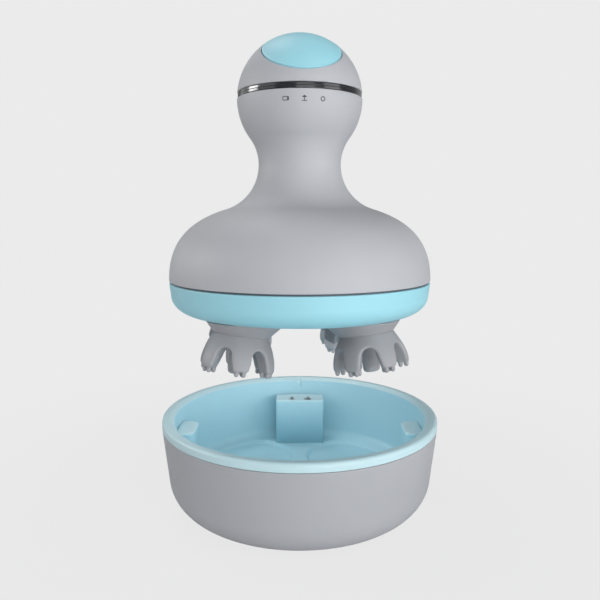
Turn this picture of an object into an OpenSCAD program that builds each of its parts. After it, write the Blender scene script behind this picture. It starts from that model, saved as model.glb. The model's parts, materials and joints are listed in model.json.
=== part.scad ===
// Electric scalp massager with four turning claw heads, held above its charging dock.
// The dock's rubber feet stand on z = 0, the front faces -Y, and every length is in millimetres.

/* [Massager housing] */
// Radius of the housing at its widest, just above the seam
body_r = 61.1; // [60.5:0.1:61.6]
// Radius of the neck at its narrowest
neck_r = 19.1; // [18:0.1:21]
// Height of the narrowest point of the neck above the seam
neck_z = 53.6; // [52:0.1:56]
// Radius of the concave curve between neck and shoulder
neck_curve_r = 21.5; // [19:0.1:24]
// Radius of the ball grip
grip_r = 28.7; // [28:0.1:30.5]
// Height of the centre of the ball grip above the seam
grip_z = 82.6; // [81:0.1:86]
// Wall of the housing shells
shell_wall = 2.4; // [1.8:0.1:2.8]
// Turn of the lifted massager about its own upright axis
hand_turn = 4; // [-4:0.5:4]
// How far the massager is lifted out of the dock
lift_height = 58.5; // [45:0.5:90]

/* [Lower ring and seam] */
// Height of the seam gasket between housing and lower ring
seam_h = 0.8; // [0.4:0.1:1.2]
// Height of the lower ring, from the seam down to its rest edge
ring_h = 14.7; // [14:0.1:16]
// Width of the ring's rounded edge, from its side in to the bottom plate
ring_round_w = 10.6; // [9.4:0.1:11.4]
// Height of the rounded edge of the ring
ring_round_h = 8.7; // [7.5:0.1:9.5]
// Thickness of the bottom plate
plate_t = 2.4; // [2:0.1:2.8]
// Thickness of the ring's inner flange
flange_t = 2; // [1.5:0.1:2.4]

/* [Power button and trim] */
// Radius of the power button
button_r = 17.35; // [16:0.05:17.8]
// Lean of the power button's axis towards the front
button_tilt = 35.5; // [32:0.5:38]
// Travel of the power button
button_travel = 0.9; // [0.5:0.1:1.2]
// Gap around the power button
button_gap = 0.25; // [0.15:0.05:0.4]
// Height of the middle of the trim band above the centre of the grip
band_rise = 1.35; // [0.8:0.05:1.6]
// Height of the trim band
band_h = 2.6; // [2:0.1:3]
// Depth of the trim band below the surface of the grip
band_sink = 0.4; // [0.2:0.1:0.8]

/* [Claw heads] */
// Distance from the edge of the bottom plate in to each claw head's axis
head_inset = 12.3; // [11.4:0.1:13.2]
// Outward lean of each claw head
head_tilt = 12; // [9:0.5:13]
// Radius of a claw head around its fingers
head_r = 16.4; // [15.5:0.1:16.8]
// Length of a claw head without its nubs
head_h = 15.2; // [13.5:0.1:16]
// Fingers on each claw head
finger_count = 6; // [5:1:6]
// Thickness of a finger at its tip, from the outside of the head inwards
finger_t = 5.2; // [4.8:0.1:5.6]
// Thickness of the palm above the finger arches
palm_t = 6.2; // [5.4:0.1:6.6]
// Width of the arch between two fingers, at its top
arch_w = 7; // [6:0.1:7.2]
// Radius of each nub
nub_r = 1; // [0.9:0.05:1.1]
// Length of each nub
nub_h = 2.2; // [1.5:0.1:2.4]
// Radius of the plain post in the middle of a claw head
post_r = 3.7; // [3.5:0.1:3.8]
// Radius of the lower end of a collar above a claw head
collar_r = 12.2; // [11:0.1:13]
// Length of a collar along the claw's axis
collar_h = 6.5; // [5.5:0.1:7]
// Flare of a collar's side from its axis
collar_flare = 42; // [30:1:44]
// Radius of a claw spindle
spindle_r = 2.5; // [2:0.1:3]

/* [Drive] */
// Teeth of the sun gear, a multiple of four
sun_teeth = 40; // [36:4:44]
// Teeth of each claw gear
claw_teeth = 16; // [14:1:18]
// Height of the middle of the claw gears above the bottom plate, along their axes
gear_level = 10; // [9.8:0.1:10.6]
// Width of the gears
gear_w = 4; // [3:0.1:4.4]
// Backlash between meshing teeth
backlash = 0.3; // [0.2:0.05:0.5]
// Radius of the motor
motor_r = 14; // [12:0.1:16]
// Length of the motor
motor_h = 20; // [16:0.5:20]
// Radius of the reduction gearbox
gearbox_r = 18; // [16:0.1:21]
// Length of the reduction gearbox
gearbox_h = 11; // [9:0.5:11]
// Radius of the drive shaft
shaft_r = 3; // [2.5:0.1:3.5]
// Radius of the battery cell
cell_r = 9.1; // [7:0.1:9.3]
// Length of the battery cell
cell_h = 33.5; // [30:0.1:33.5]

/* [Dock bowl] */
// Width of the rim, from its inner edge to the outside of the bowl
rim_w = 5.6; // [5.5:0.1:7]
// How far the bowl narrows from its top edge to its lower curve
bowl_draft = 2.7; // [1.5:0.1:2.8]
// Radius of the bowl's lower curve
bowl_curve_r = 16.4; // [15.5:0.1:17.5]
// Wall of the bowl
bowl_wall = 2; // [1.6:0.1:2.1]
// Radius of a rubber foot
foot_r = 6; // [5:0.1:6.5]
// Height of a rubber foot below the bowl
foot_h = 0.8; // [0.6:0.1:1.2]

/* [Dock liner] */
// Height of the liner's rim above the bowl's edge
rim_h = 3.9; // [3.4:0.1:4.6]
// Height of the liner's rim above the ledges that carry the massager
rim_rise = 8.6; // [7.5:0.1:9.5]
// Width of the bevel along the inside of the rim
bevel_w = 2.1; // [1.5:0.1:2.6]
// Height of the bevel along the inside of the rim
bevel_h = 1.4; // [0.8:0.1:2]
// How far the liner's wall narrows from the bevel to the floor
liner_draft = 1.2; // [0.8:0.1:1.8]
// Height of the liner's floor above the table
floor_z = 11.6; // [11.2:0.1:12]
// Thickness of the liner
liner_t = 1.8; // [1.5:0.1:1.9]
// Radius of a claw cup in the floor
cup_r = 22; // [20:0.1:23]
// Depth of a claw cup
cup_depth = 2.4; // [2:0.1:2.5]
// Distance of a side tab's inner face from the flat underside of the docked massager
tab_setback = 1; // [0.5:0.1:2]
// Length of a side tab
tab_l = 20; // [16:0.5:24]
// Width of the contact block
block_w = 27; // [24:0.5:30]
// Distance from the contact block's front face to the contact pins
block_front = 3; // [2.6:0.1:3.4]

/* [Charging contacts] */
// Distance between the two contact pins
pin_pitch = 9; // [8.6:0.1:9.4]
// Distance from the edge of the docked bottom plate in to the contact pins
pin_inset = 2.8; // [2.6:0.1:3]
// Radius of a contact pin
pin_r = 0.95; // [0.8:0.05:1]
// Travel of a contact pin
pin_travel = 1.2; // [0.8:0.1:1.4]
// Width of a contact pad under the massager
pad_w = 8.5; // [7.5:0.1:8.6]

/* [Fits] */
// Radial clearance of a turning or sliding fit
run_fit = 0.05; // [0.03:0.01:0.08]
// Gap between pieces that only lie beside each other
side_gap = 0.2; // [0.15:0.01:0.25]
// Gap left between the docked massager and the ledges
dock_gap = 0.3; // [0.2:0.05:0.4]
// Gap left between the docked massager's lower ring and the liner
nest_gap = 0.2; // [0.15:0.05:0.4]
// Gap left between the docked claw heads and the floor of their cups
claw_gap = 0.9; // [0.6:0.1:1.4]

/* [Hidden] */
$fn = 96;

eps = 0.01;

// Colours
grey = [0.66, 0.66, 0.69];
claw_grey = [0.52, 0.52, 0.54];
blue = [0.45, 0.78, 0.87];
dark = [0.12, 0.12, 0.14];
steel = [0.7, 0.7, 0.72];
brass = [0.8, 0.65, 0.3];
green = [0.1, 0.4, 0.25];

// The lower ring's side leans in by ring_draft, and everything under it is placed from its foot
ring_draft = 0.7;
ring_foot_r = body_r - ring_draft - ring_round_w;
head_pitch_r = ring_foot_r - head_inset;
pin_y = ring_foot_r - pin_inset;

// A claw head from its palm down to its nubs, along its own axis from the bottom plate
palm_gap = 0.3;
palm_z = -collar_h - palm_gap;
tip_z = palm_z - head_h;
tip_r = head_r - 0.2;
cavity_r = tip_r - finger_t;
finger_mid_r = (tip_r + cavity_r) / 2;
outer_nub_x = 1.1;
claw_reach = (finger_mid_r + outer_nub_x) * sin(head_tilt)
    + (nub_h - nub_r - tip_z) * cos(head_tilt) + nub_r;

// Heights above the table, worked out from the dock upwards
ledge_z = floor_z - cup_depth + claw_gap + claw_reach - dock_gap;
rim_top_z = ledge_z + rim_rise;
seam_z = ledge_z + dock_gap + ring_h + lift_height;

// The four claw heads, from front left anticlockwise as seen from above
head_azimuths = [225, 315, 45, 135];
finger_phases = [48, 35, 48, 35];
quarter_turns = [0, 90, 180, 270];

// Small curves
function arc_points(centre, r, from, to, steps) =
    [for (i = [0:steps]) let (a = from + (to - from) * i / steps)
        centre + r * [cos(a), sin(a)]];
function oval_points(centre, rx, ry, from, to, steps) =
    [for (i = [0:steps]) let (a = from + (to - from) * i / steps)
        centre + [rx * cos(a), ry * sin(a)]];
function bezier_points(a, b, c, d, steps) =
    [for (i = [1:steps - 1]) let (t = i / steps, s = 1 - t)
        s * s * s * a + 3 * s * s * t * b + 3 * s * t * t * c + t * t * t * d];
function reversed(points) = [for (i = [len(points) - 1:-1:0]) points[i]];

// ---------------------------------------------------------------- Massager housing
// The outline runs up from the seam: shoulder, neck and ball grip.
// inset moves it inwards by the wall, so both faces of the shell follow one rule.
shoulder_slope = 17.2;
shoulder_pull = 15.1;
body_pull = 20.1;
neck_centre_r = neck_r + neck_curve_r;
// The upper neck curve touches the ball grip and the neck's narrowest point
neck_drop = grip_z - neck_z;
upper_curve_r = (neck_drop * neck_drop + neck_r * neck_r - grip_r * grip_r)
    / (2 * (grip_r - neck_r));
grip_join = atan2(neck_z - grip_z, neck_r + upper_curve_r);
band_low = grip_z + band_rise - band_h / 2;
band_high = band_low + band_h;

function shoulder_start(inset) = [neck_centre_r, neck_z]
    - (neck_curve_r + inset) * [sin(shoulder_slope), cos(shoulder_slope)];
function housing_outline(inset, top_z) = let (
        foot = [body_r - inset, seam_h / 2],
        start = shoulder_start(inset),
        ball_r = grip_r - inset,
        top_a = asin((top_z - grip_z) / ball_r))
    concat(
        [foot],
        bezier_points(foot, foot + [0, body_pull - inset / 2],
            start + (shoulder_pull - inset / 2) * [cos(shoulder_slope), -sin(shoulder_slope)],
            start, 16),
        arc_points([neck_centre_r, neck_z], neck_curve_r + inset,
            270 - shoulder_slope, 180, 10),
        arc_points([neck_r + upper_curve_r, neck_z], upper_curve_r + inset,
            175, 180 + grip_join, 7),
        arc_points([0, grip_z], ball_r, grip_join + 4, top_a, 9));

module massager_frame() {
    translate([0, 0, seam_z]) rotate([0, 0, hand_turn]) children();
}

module around(azimuths, r) {
    for (a = azimuths) rotate([0, 0, a]) translate([r, 0, 0]) children();
}

// Screw bosses hang from the shoulder to the flange of the lower ring
boss_r = 3.2;
flange_w = 5.3;
boss_inset = 2.5;
screw_ring_r = ring_foot_r - flange_w - boss_inset;
screw_r = 1.5;
screw_head_r = 2.75;
flange_z = -ring_h + plate_t + side_gap / 2;
flange_top_z = flange_z + flange_t;
boss_hole_h = 18;
// Battery, motor and gearbox stand on the gear deck, and the control board closes the stack
plate_top_z = -ring_h + plate_t;
deck_rise = 14.3;
deck_z = plate_top_z + deck_rise;
deck_t = 2.5;
gearbox_z = deck_z + deck_t;
motor_z = gearbox_z + gearbox_h;
motor_cap_r = 5;
motor_cap_h = 1.5;
cradle_z = motor_z + motor_h + motor_cap_h;
cradle_t = 1.6;
cell_z = cradle_z + cradle_t;
board_gap = 1.3;
board_z = cell_z + cell_h + board_gap;
board_t = 1.6;
ledge_t = 1.6;
ledge_in = 2.2;
inner_grip_r = grip_r - shell_wall;
function inner_grip_at(z) = sqrt(pow(inner_grip_r, 2) - pow(z - grip_z, 2));
board_r = inner_grip_at(board_z) - 5 * side_gap;
shell_top_z = band_low - side_gap / 2;

module body_shell() {
    color(grey) massager_frame() difference() {
        union() {
            rotate_extrude() polygon(concat(
                housing_outline(0, shell_top_z),
                reversed(housing_outline(shell_wall, shell_top_z))));
            rotate_extrude() polygon([
                [board_r - ledge_in, board_z - ledge_t],
                [inner_grip_at(board_z - ledge_t) + shell_wall / 2, board_z - ledge_t],
                [inner_grip_at(board_z) + shell_wall / 2, board_z],
                [board_r - ledge_in, board_z]]);
            intersection() {
                around(quarter_turns, screw_ring_r) translate([0, 0, flange_top_z])
                    cylinder(r = boss_r, h = neck_z);
                rotate_extrude() polygon(concat([[0, flange_z], [body_r, flange_z]],
                    housing_outline(shell_wall / 2, shell_top_z), [[0, shell_top_z]]));
            }
        }
        around(quarter_turns, screw_ring_r) translate([0, 0, flange_top_z - eps])
            cylinder(r = screw_r + run_fit, h = boss_hole_h);
    }
}

// The crown closes the grip above the trim band and guides the power button
spigot_t = 1.3;
spigot_h = 2.2;
spigot_r = inner_grip_r - 2 * side_gap;
spigot_join = 1.2;
button_hole_r = button_r + button_gap;
lip_w = 0.85;
lip_t = 1.2;
guide_t = 1.7;
guide_bottom = sqrt(pow(grip_r, 2) - pow(button_r, 2)) - 2 * shell_wall;
lip_top = guide_bottom - side_gap;
module button_frame() {
    translate([0, 0, grip_z]) rotate([button_tilt, 0, 0]) children();
}
module crown_shell() {
    crown_z = band_high + side_gap / 2;
    join_r = inner_grip_r + shell_wall / 3;
    color(grey) massager_frame() difference() {
        union() {
            translate([0, 0, grip_z]) rotate_extrude() difference() {
                intersection() {
                    circle(r = grip_r);
                    translate([0, crown_z - grip_z]) square(grip_r);
                }
                circle(r = inner_grip_r);
            }
            rotate_extrude() polygon([
                [spigot_r - spigot_t, shell_top_z - spigot_h],
                [spigot_r, shell_top_z - spigot_h],
                [spigot_r, band_high],
                [join_r, crown_z],
                [join_r, band_high + spigot_join],
                [spigot_r - spigot_t, band_high + spigot_join]]);
            intersection() {
                button_frame() translate([0, 0, guide_bottom])
                    cylinder(r = button_hole_r + guide_t, h = grip_r);
                translate([0, 0, grip_z]) rotate_extrude() intersection() {
                    circle(r = join_r);
                    union() {
                        translate([0, -grip_r]) square([spigot_r, 2 * grip_r]);
                        translate([0, crown_z - grip_z]) square(grip_r);
                    }
                }
            }
        }
        button_frame() {
            cylinder(r = button_hole_r, h = 2 * grip_r);
            translate([0, 0, lip_top - lip_t - button_travel - side_gap])
                cylinder(r = button_r + lip_w + button_gap,
                    h = lip_t + button_travel + 2 * side_gap);
        }
    }
}

module trim_band() {
    color(dark) massager_frame() translate([0, 0, band_low]) difference() {
        cylinder(r = grip_r - band_sink, h = band_h);
        translate([0, 0, -eps])
            cylinder(r = spigot_r + side_gap, h = band_h + 2 * eps);
    }
}

// ---------------------------------------------------------------- Power button and controls
// The button's skirt runs up into its dome, and its plunger hangs from the dome's middle
skirt_t = 1.75;
skirt_top = sqrt(pow(inner_grip_r, 2) - pow(button_r - skirt_t / 2, 2)) + shell_wall / 8;
plunger_r = 3;
plunger_l = 5.8;
plunger_bottom = inner_grip_r - plunger_l;
module power_button() {
    color(blue) massager_frame() button_frame() rotate_extrude() union() {
        difference() {
            intersection() {
                circle(r = grip_r);
                translate([0, lip_top - lip_t]) square([button_r, grip_r]);
            }
            circle(r = inner_grip_r);
        }
        translate([button_r - skirt_t, lip_top - lip_t])
            square([skirt_t, skirt_top - lip_top + lip_t]);
        translate([button_r - skirt_t, lip_top - lip_t]) square([skirt_t + lip_w, lip_t]);
        translate([0, plunger_bottom])
            square([plunger_r, plunger_l + shell_wall / 4]);
    }
}

stem_r = 1.7;
stem_l = 3.7;
switch_h = 3.6;
switch_w = 6.4;
switch_floor = 1.2;
switch_bottom = plunger_bottom - stem_l - button_travel - side_gap - switch_floor;
module switch_stem() {
    color(steel) massager_frame() button_frame()
        translate([0, 0, plunger_bottom - stem_l]) cylinder(r = stem_r, h = stem_l, $fn = 32);
}

module tact_switch() {
    color(dark) massager_frame() button_frame() translate([0, 0, switch_bottom]) difference() {
        translate([-switch_w / 2, -switch_w / 2, 0]) cube([switch_w, switch_w, switch_h]);
        translate([0, 0, switch_floor])
            cylinder(r = stem_r + run_fit, h = switch_h, $fn = 32);
    }
}

bracket_r = 5.5;
module switch_bracket() {
    color(dark) massager_frame() intersection() {
        button_frame() translate([0, 0, -grip_r]) cylinder(r = bracket_r, h = grip_r + switch_bottom);
        translate([-board_r, -board_r, board_z + board_t]) cube(2 * board_r);
    }
}

// Three status lights stand behind the front of the grip, just below the crown's spigot.
// Their board is soldered upright against the flat front edge of the control board.
light_pitch = 7.9;
light_r = 1.3;
light_z = shell_top_z - spigot_h - side_gap - light_r;
led_board_w = 20;
led_board_t = 1;
led_board_y = -sqrt(pow(board_r, 2) - pow(led_board_w / 2, 2));
module control_board() {
    color(green) massager_frame() translate([0, 0, board_z]) intersection() {
        cylinder(r = board_r, h = board_t);
        translate([-board_r, led_board_y + led_board_t, 0]) cube([2 * board_r, 2 * board_r, board_t]);
    }
}

module indicator_board() {
    color(green) massager_frame() translate([-led_board_w / 2, led_board_y, board_z])
        cube([led_board_w, led_board_t, light_z + light_r - board_z]);
}

module light_guides() {
    color("white") massager_frame() for (side = [-1:1]) {
        outer_x = abs(side) * light_pitch + light_r;
        tip_y = sqrt(pow(inner_grip_at(light_z - light_r), 2) - pow(outer_x, 2)) - side_gap;
        translate([side * light_pitch, led_board_y, light_z]) rotate([90, 0, 0])
            cylinder(r = light_r, h = tip_y + led_board_y, $fn = 32);
    }
}

// ---------------------------------------------------------------- Battery and motor
cradle_h = 22;
cradle_r = cell_r + 2 * side_gap + cradle_t;
rib_t = 2;
rib_h = 6;

module battery_cell() {
    color("darkorange") massager_frame() translate([0, 0, cell_z])
        cylinder(r = cell_r, h = cell_h);
}

module battery_cradle() {
    color(dark) massager_frame() difference() {
        union() {
            translate([0, 0, cradle_z]) cylinder(r = cradle_r, h = cradle_h);
            for (a = [0, 120, 240]) rotate([0, 0, a])
                translate([cradle_r - cradle_t / 2, -rib_t / 2, neck_z - rib_h / 2])
                    cube([neck_r - shell_wall - side_gap - cradle_r + cradle_t / 2, rib_t, rib_h]);
        }
        translate([0, 0, cell_z]) cylinder(r = cell_r + side_gap, h = cell_h);
    }
}

module motor_can() {
    color(steel) massager_frame() union() {
        translate([0, 0, motor_z]) cylinder(r = motor_r, h = motor_h);
        translate([0, 0, motor_z + motor_h]) cylinder(r = motor_cap_r, h = motor_cap_h);
    }
}

motor_screw_ring_r = 13;
motor_screw_r = 1.2;
motor_screw_l = 5;
shaft_bore_h = 6.6;
module reduction_gearbox() {
    color(steel) massager_frame() translate([0, 0, gearbox_z]) difference() {
        cylinder(r = gearbox_r, h = gearbox_h);
        translate([0, 0, -eps]) cylinder(r = shaft_r + run_fit, h = shaft_bore_h);
        around(quarter_turns, motor_screw_ring_r) translate([0, 0, -eps])
            cylinder(r = motor_screw_r + run_fit, h = motor_screw_l + 1, $fn = 32);
    }
}

// ---------------------------------------------------------------- Gear train
// The sun gear stands upright. Each claw gear leans with its head and is tapered, so that
// its side towards the sun stands upright too. Their pitch circles touch at mid width.
gear_axis_r = head_pitch_r - gear_level * sin(head_tilt);
sun_pitch_r = gear_axis_r / (1 + claw_teeth / sun_teeth * cos(head_tilt));
claw_pitch_r = sun_pitch_r * claw_teeth / sun_teeth;
gear_module = 2 * sun_pitch_r / sun_teeth;
addendum = 0.85 * gear_module;
dedendum = 1.15 * gear_module;
pressure_angle = 20;
contact_z = -ring_h + gear_level * cos(head_tilt) - claw_pitch_r * sin(head_tilt);
sun_w = gear_w + 0.4;

function involute(r, base_r) = r > base_r
    ? sqrt(r * r / (base_r * base_r) - 1) * 180 / PI - acos(base_r / r) : 0;
function half_tooth(r, pitch_r) = (gear_module * PI / 2 - backlash / 2) / pitch_r * 90 / PI
    + involute(pitch_r, pitch_r * cos(pressure_angle))
    - involute(r, pitch_r * cos(pressure_angle));
function gear_outline(teeth, pitch_r) = let (
        radii = [pitch_r - dedendum, pitch_r - addendum / 2, pitch_r + addendum / 3,
            pitch_r + addendum])
    [for (i = [0:teeth - 1], side = [-1, 1], k = [0:3])
        let (r = radii[side < 0 ? k : 3 - k],
            a = i * 360 / teeth + side * half_tooth(r, pitch_r))
        r * [cos(a), sin(a)]];

module head_frame(n) {
    massager_frame() rotate([0, 0, head_azimuths[n - 1]]) translate([head_pitch_r, 0, -ring_h])
        rotate([0, -head_tilt, 0]) children();
}

hub_r = 6;
hub_h = 2.6;
module sun_gear() {
    color("ivory") massager_frame() translate([0, 0, contact_z - sun_w / 2]) difference() {
        union() {
            rotate([0, 0, head_azimuths[2]])
                linear_extrude(height = sun_w) polygon(gear_outline(sun_teeth, sun_pitch_r));
            cylinder(r = hub_r, h = sun_w + hub_h);
        }
        translate([0, 0, -eps]) cylinder(r = shaft_r, h = sun_w + hub_h + 2 * eps);
    }
}

module claw_gear(n) {
    taper = gear_w * tan(head_tilt);
    low_r = claw_pitch_r + taper / 2;
    color("ivory") head_frame(n) translate([0, 0, gear_level - gear_w / 2]) difference() {
        rotate([0, 0, 180 + 180 / claw_teeth])
            linear_extrude(height = gear_w, scale = (low_r - taper) / low_r)
                scale(low_r / claw_pitch_r) polygon(gear_outline(claw_teeth, claw_pitch_r));
        translate([0, 0, -eps]) cylinder(r = spindle_r, h = gear_w + 2 * eps);
    }
}

shaft_foot_h = 2.4;
shaft_foot_wall = 2.5;
module drive_shaft() {
    shaft_low = plate_top_z + side_gap;
    shaft_top = gearbox_z + shaft_bore_h - 2 * side_gap;
    color(steel) massager_frame() translate([0, 0, shaft_low])
        cylinder(r = shaft_r, h = shaft_top - shaft_low);
}

// The deck carries the motor above the gears and holds the upper bushings
bushing_t = 1;
bushing_wall = 1.3;
deck_bushing_low = 14;
deck_bushing_h = 4.4;
upper_boss_r = spindle_r + run_fit + bushing_t + bushing_wall;
deck_r = screw_ring_r - boss_r - 2 * side_gap;
pillar_r = 3;
pillar_gap = 1.3;
pillar_ring_r = screw_ring_r - boss_r - pillar_gap - pillar_r;
deck_screw_r = 1.2;
deck_screw_l = 8;
deck_head_r = 2.4;
deck_head_h = 1.5;
module gear_deck() {
    color(steel) difference() {
        union() {
            massager_frame() translate([0, 0, deck_z]) cylinder(r = deck_r, h = deck_t);
            intersection() {
                union() for (n = [1:4]) head_frame(n) translate([0, 0, deck_bushing_low])
                    cylinder(r = upper_boss_r, h = 2 * deck_bushing_h);
                massager_frame() translate([-body_r, -body_r, deck_z + deck_t - body_r])
                    cube([2 * body_r, 2 * body_r, body_r]);
            }
        }
        for (n = [1:4]) head_frame(n) translate([0, 0, deck_bushing_low - eps])
            cylinder(r = spindle_r + run_fit + bushing_t, h = 3 * deck_bushing_h);
        massager_frame() translate([0, 0, deck_z - eps])
            cylinder(r = shaft_r + 2 * side_gap, h = deck_t + 2 * eps);
        massager_frame() around(quarter_turns, motor_screw_ring_r) translate([0, 0, deck_z - eps])
            cylinder(r = motor_screw_r + side_gap, h = deck_t + 2 * eps, $fn = 32);
        massager_frame() around(quarter_turns, pillar_ring_r) translate([0, 0, deck_z - eps])
            cylinder(r = deck_screw_r + side_gap, h = deck_t + 2 * eps, $fn = 32);
    }
}

module claw_spindle(n) {
    spindle_top = deck_bushing_low + deck_bushing_h;
    color(steel) head_frame(n) translate([0, 0, -spindle_end])
        cylinder(r = spindle_r, h = spindle_top + spindle_end);
}

// ---------------------------------------------------------------- Bottom plate and seals
lower_bushing_low = 1.1;
lower_bushing_h = 5.4;
lower_bushing_t = 1.9;
lower_boss_wall = 2.5;
lower_boss_r = spindle_r + run_fit + lower_bushing_t + lower_boss_wall;
head_pocket_d = 1.6;
// A docked contact pin stays short of its pad by pad_gap
pin_rise = pin_travel + side_gap;
pad_gap = 0.1;
pad_recess = pin_rise + pad_gap - dock_gap;
pad_t = 0.6;
pad_l = 3;
pad_inset = 0.7;
module bottom_plate() {
    color(claw_grey) difference() {
        union() {
            massager_frame() translate([0, 0, -ring_h])
                cylinder(r = ring_foot_r - side_gap, h = plate_t);
            massager_frame() translate([0, 0, plate_top_z - eps])
                cylinder(r = shaft_r + shaft_foot_wall, h = shaft_foot_h);
            massager_frame() around(quarter_turns, pillar_ring_r)
                translate([0, 0, plate_top_z - eps])
                    cylinder(r = pillar_r, h = deck_z - plate_top_z + eps);
            intersection() {
                union() for (n = [1:4]) head_frame(n) translate([0, 0, -lower_boss_r])
                    cylinder(r = lower_boss_r,
                        h = lower_boss_r + lower_bushing_low + lower_bushing_h);
                massager_frame() translate([-body_r, -body_r, -ring_h + plate_t / 2])
                    cube([2 * body_r, 2 * body_r, ring_h]);
            }
        }
        for (n = [1:4]) head_frame(n) {
            translate([0, 0, lower_bushing_low])
                cylinder(r = spindle_r + run_fit + lower_bushing_t, h = 2 * lower_bushing_h);
            translate([0, 0, -lower_bushing_h])
                cylinder(r = spindle_r + 4 * side_gap, h = 2 * lower_bushing_h);
        }
        massager_frame() {
            translate([0, 0, plate_top_z + side_gap / 2])
                cylinder(r = shaft_r + run_fit, h = 2 * shaft_foot_h);
            around(quarter_turns, pillar_ring_r) translate([0, 0, deck_z - deck_screw_l])
                cylinder(r = deck_screw_r + run_fit, h = deck_screw_l + eps, $fn = 32);
            around(quarter_turns, screw_ring_r) translate([0, 0, -ring_h - eps]) {
                cylinder(r = screw_head_r + side_gap, h = head_pocket_d + eps);
                cylinder(r = screw_r + side_gap, h = 2 * plate_t);
            }
            // One recess for both pads, wide enough for pins that meet a turned massager
            translate([0, pin_y, -ring_h])
                cube([2 * (pad_w + pad_inset) + side_gap, pad_l + side_gap,
                    2 * (pad_recess + pad_t)], center = true);
        }
    }
}

module contact_pads() {
    color(brass) massager_frame() for (side = [-1, 1])
        translate([side * (pad_w / 2 + pad_inset), pin_y, -ring_h + pad_recess + pad_t / 2])
            cube([pad_w, pad_l, pad_t], center = true);
}

module tube_between(inner_r, outer_r, h) {
    difference() {
        cylinder(r = outer_r, h = h);
        translate([0, 0, -eps]) cylinder(r = inner_r, h = h + 2 * eps);
    }
}

module spindle_bushings() {
    color(brass) for (n = [1:4]) head_frame(n) {
        translate([0, 0, lower_bushing_low]) tube_between(spindle_r + run_fit,
            spindle_r + run_fit + lower_bushing_t, lower_bushing_h);
        translate([0, 0, deck_bushing_low]) tube_between(spindle_r + run_fit,
            spindle_r + run_fit + bushing_t, deck_bushing_h);
    }
}

seal_t = 0.9;
seal_h = 3;
seal_low = -collar_h + 1;
module shaft_seals() {
    color(dark) for (n = [1:4]) head_frame(n) translate([0, 0, seal_low])
        tube_between(spindle_r + run_fit, spindle_r + run_fit + seal_t, seal_h);
}

// A collar is a leaning cone cut off flat by the bottom plate
module head_collar(n) {
    cone_h = collar_h + head_r * sin(head_tilt) + 2;
    color(claw_grey) difference() {
        head_frame(n) translate([0, 0, -collar_h])
            cylinder(r1 = collar_r, r2 = collar_r + cone_h * tan(collar_flare), h = cone_h);
        massager_frame() translate([-2 * body_r, -2 * body_r, -ring_h])
            cube([4 * body_r, 4 * body_r, 2 * ring_h]);
        head_frame(n) translate([0, 0, -collar_h - eps]) {
            cylinder(r = spindle_r + run_fit + seal_t, h = 3 * collar_h);
        }
    }
}

module lower_ring() {
    outer_low = [ring_foot_r, ring_round_h - ring_h];
    oval_w = body_r - ring_draft - ring_foot_r;
    inner_w = oval_w - shell_wall;
    inner_h = ring_round_h - shell_wall;
    flange_a = asin((flange_top_z - outer_low[1]) / inner_h);
    flange_r = ring_foot_r - flange_w;
    color(blue) massager_frame() difference() {
        union() {
            rotate_extrude() polygon(concat(
                [[body_r, -seam_h / 2]],
                oval_points(outer_low, oval_w, ring_round_h, 0, -90, 12),
                [[ring_foot_r, flange_z], [flange_r, flange_z], [flange_r, flange_top_z]],
                oval_points(outer_low, inner_w, inner_h, flange_a, 0, 8),
                [[body_r - shell_wall, -seam_h / 2]]));
            around(quarter_turns, screw_ring_r) translate([0, 0, flange_z])
                cylinder(r = boss_r + flange_t / 2, h = flange_t);
        }
        around(quarter_turns, screw_ring_r) translate([0, 0, flange_z - eps])
            cylinder(r = screw_r + side_gap, h = flange_t + 2 * eps);
    }
}

seam_inset = 0.9;
module seam_gasket() {
    color(dark) massager_frame() translate([0, 0, -seam_h / 2])
        tube_between(body_r - shell_wall + side_gap, body_r - seam_inset, seam_h);
}

module screw(shank_r, shank_l, head_r, head_h) {
    union() {
        cylinder(r = head_r, h = head_h, $fn = 32);
        cylinder(r = shank_r, h = head_h + shank_l, $fn = 32);
    }
}

housing_screw_l = 18;
screw_head_h = 1.4;
module housing_screws() {
    color(steel) massager_frame() around(quarter_turns, screw_ring_r)
        translate([0, 0, -ring_h + head_pocket_d - screw_head_h])
            screw(screw_r, housing_screw_l, screw_head_r, screw_head_h);
}

module deck_screws() {
    color(steel) massager_frame() around(quarter_turns, pillar_ring_r)
        translate([0, 0, deck_z + deck_t + deck_head_h]) rotate([180, 0, 0])
            screw(deck_screw_r, deck_t + deck_screw_l - 1, deck_head_r, deck_head_h);
}

module motor_screws() {
    color(steel) massager_frame() around(quarter_turns, motor_screw_ring_r)
        translate([0, 0, deck_z - deck_head_h])
            screw(motor_screw_r, deck_t + motor_screw_l, deck_head_r, deck_head_h);
}

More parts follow.
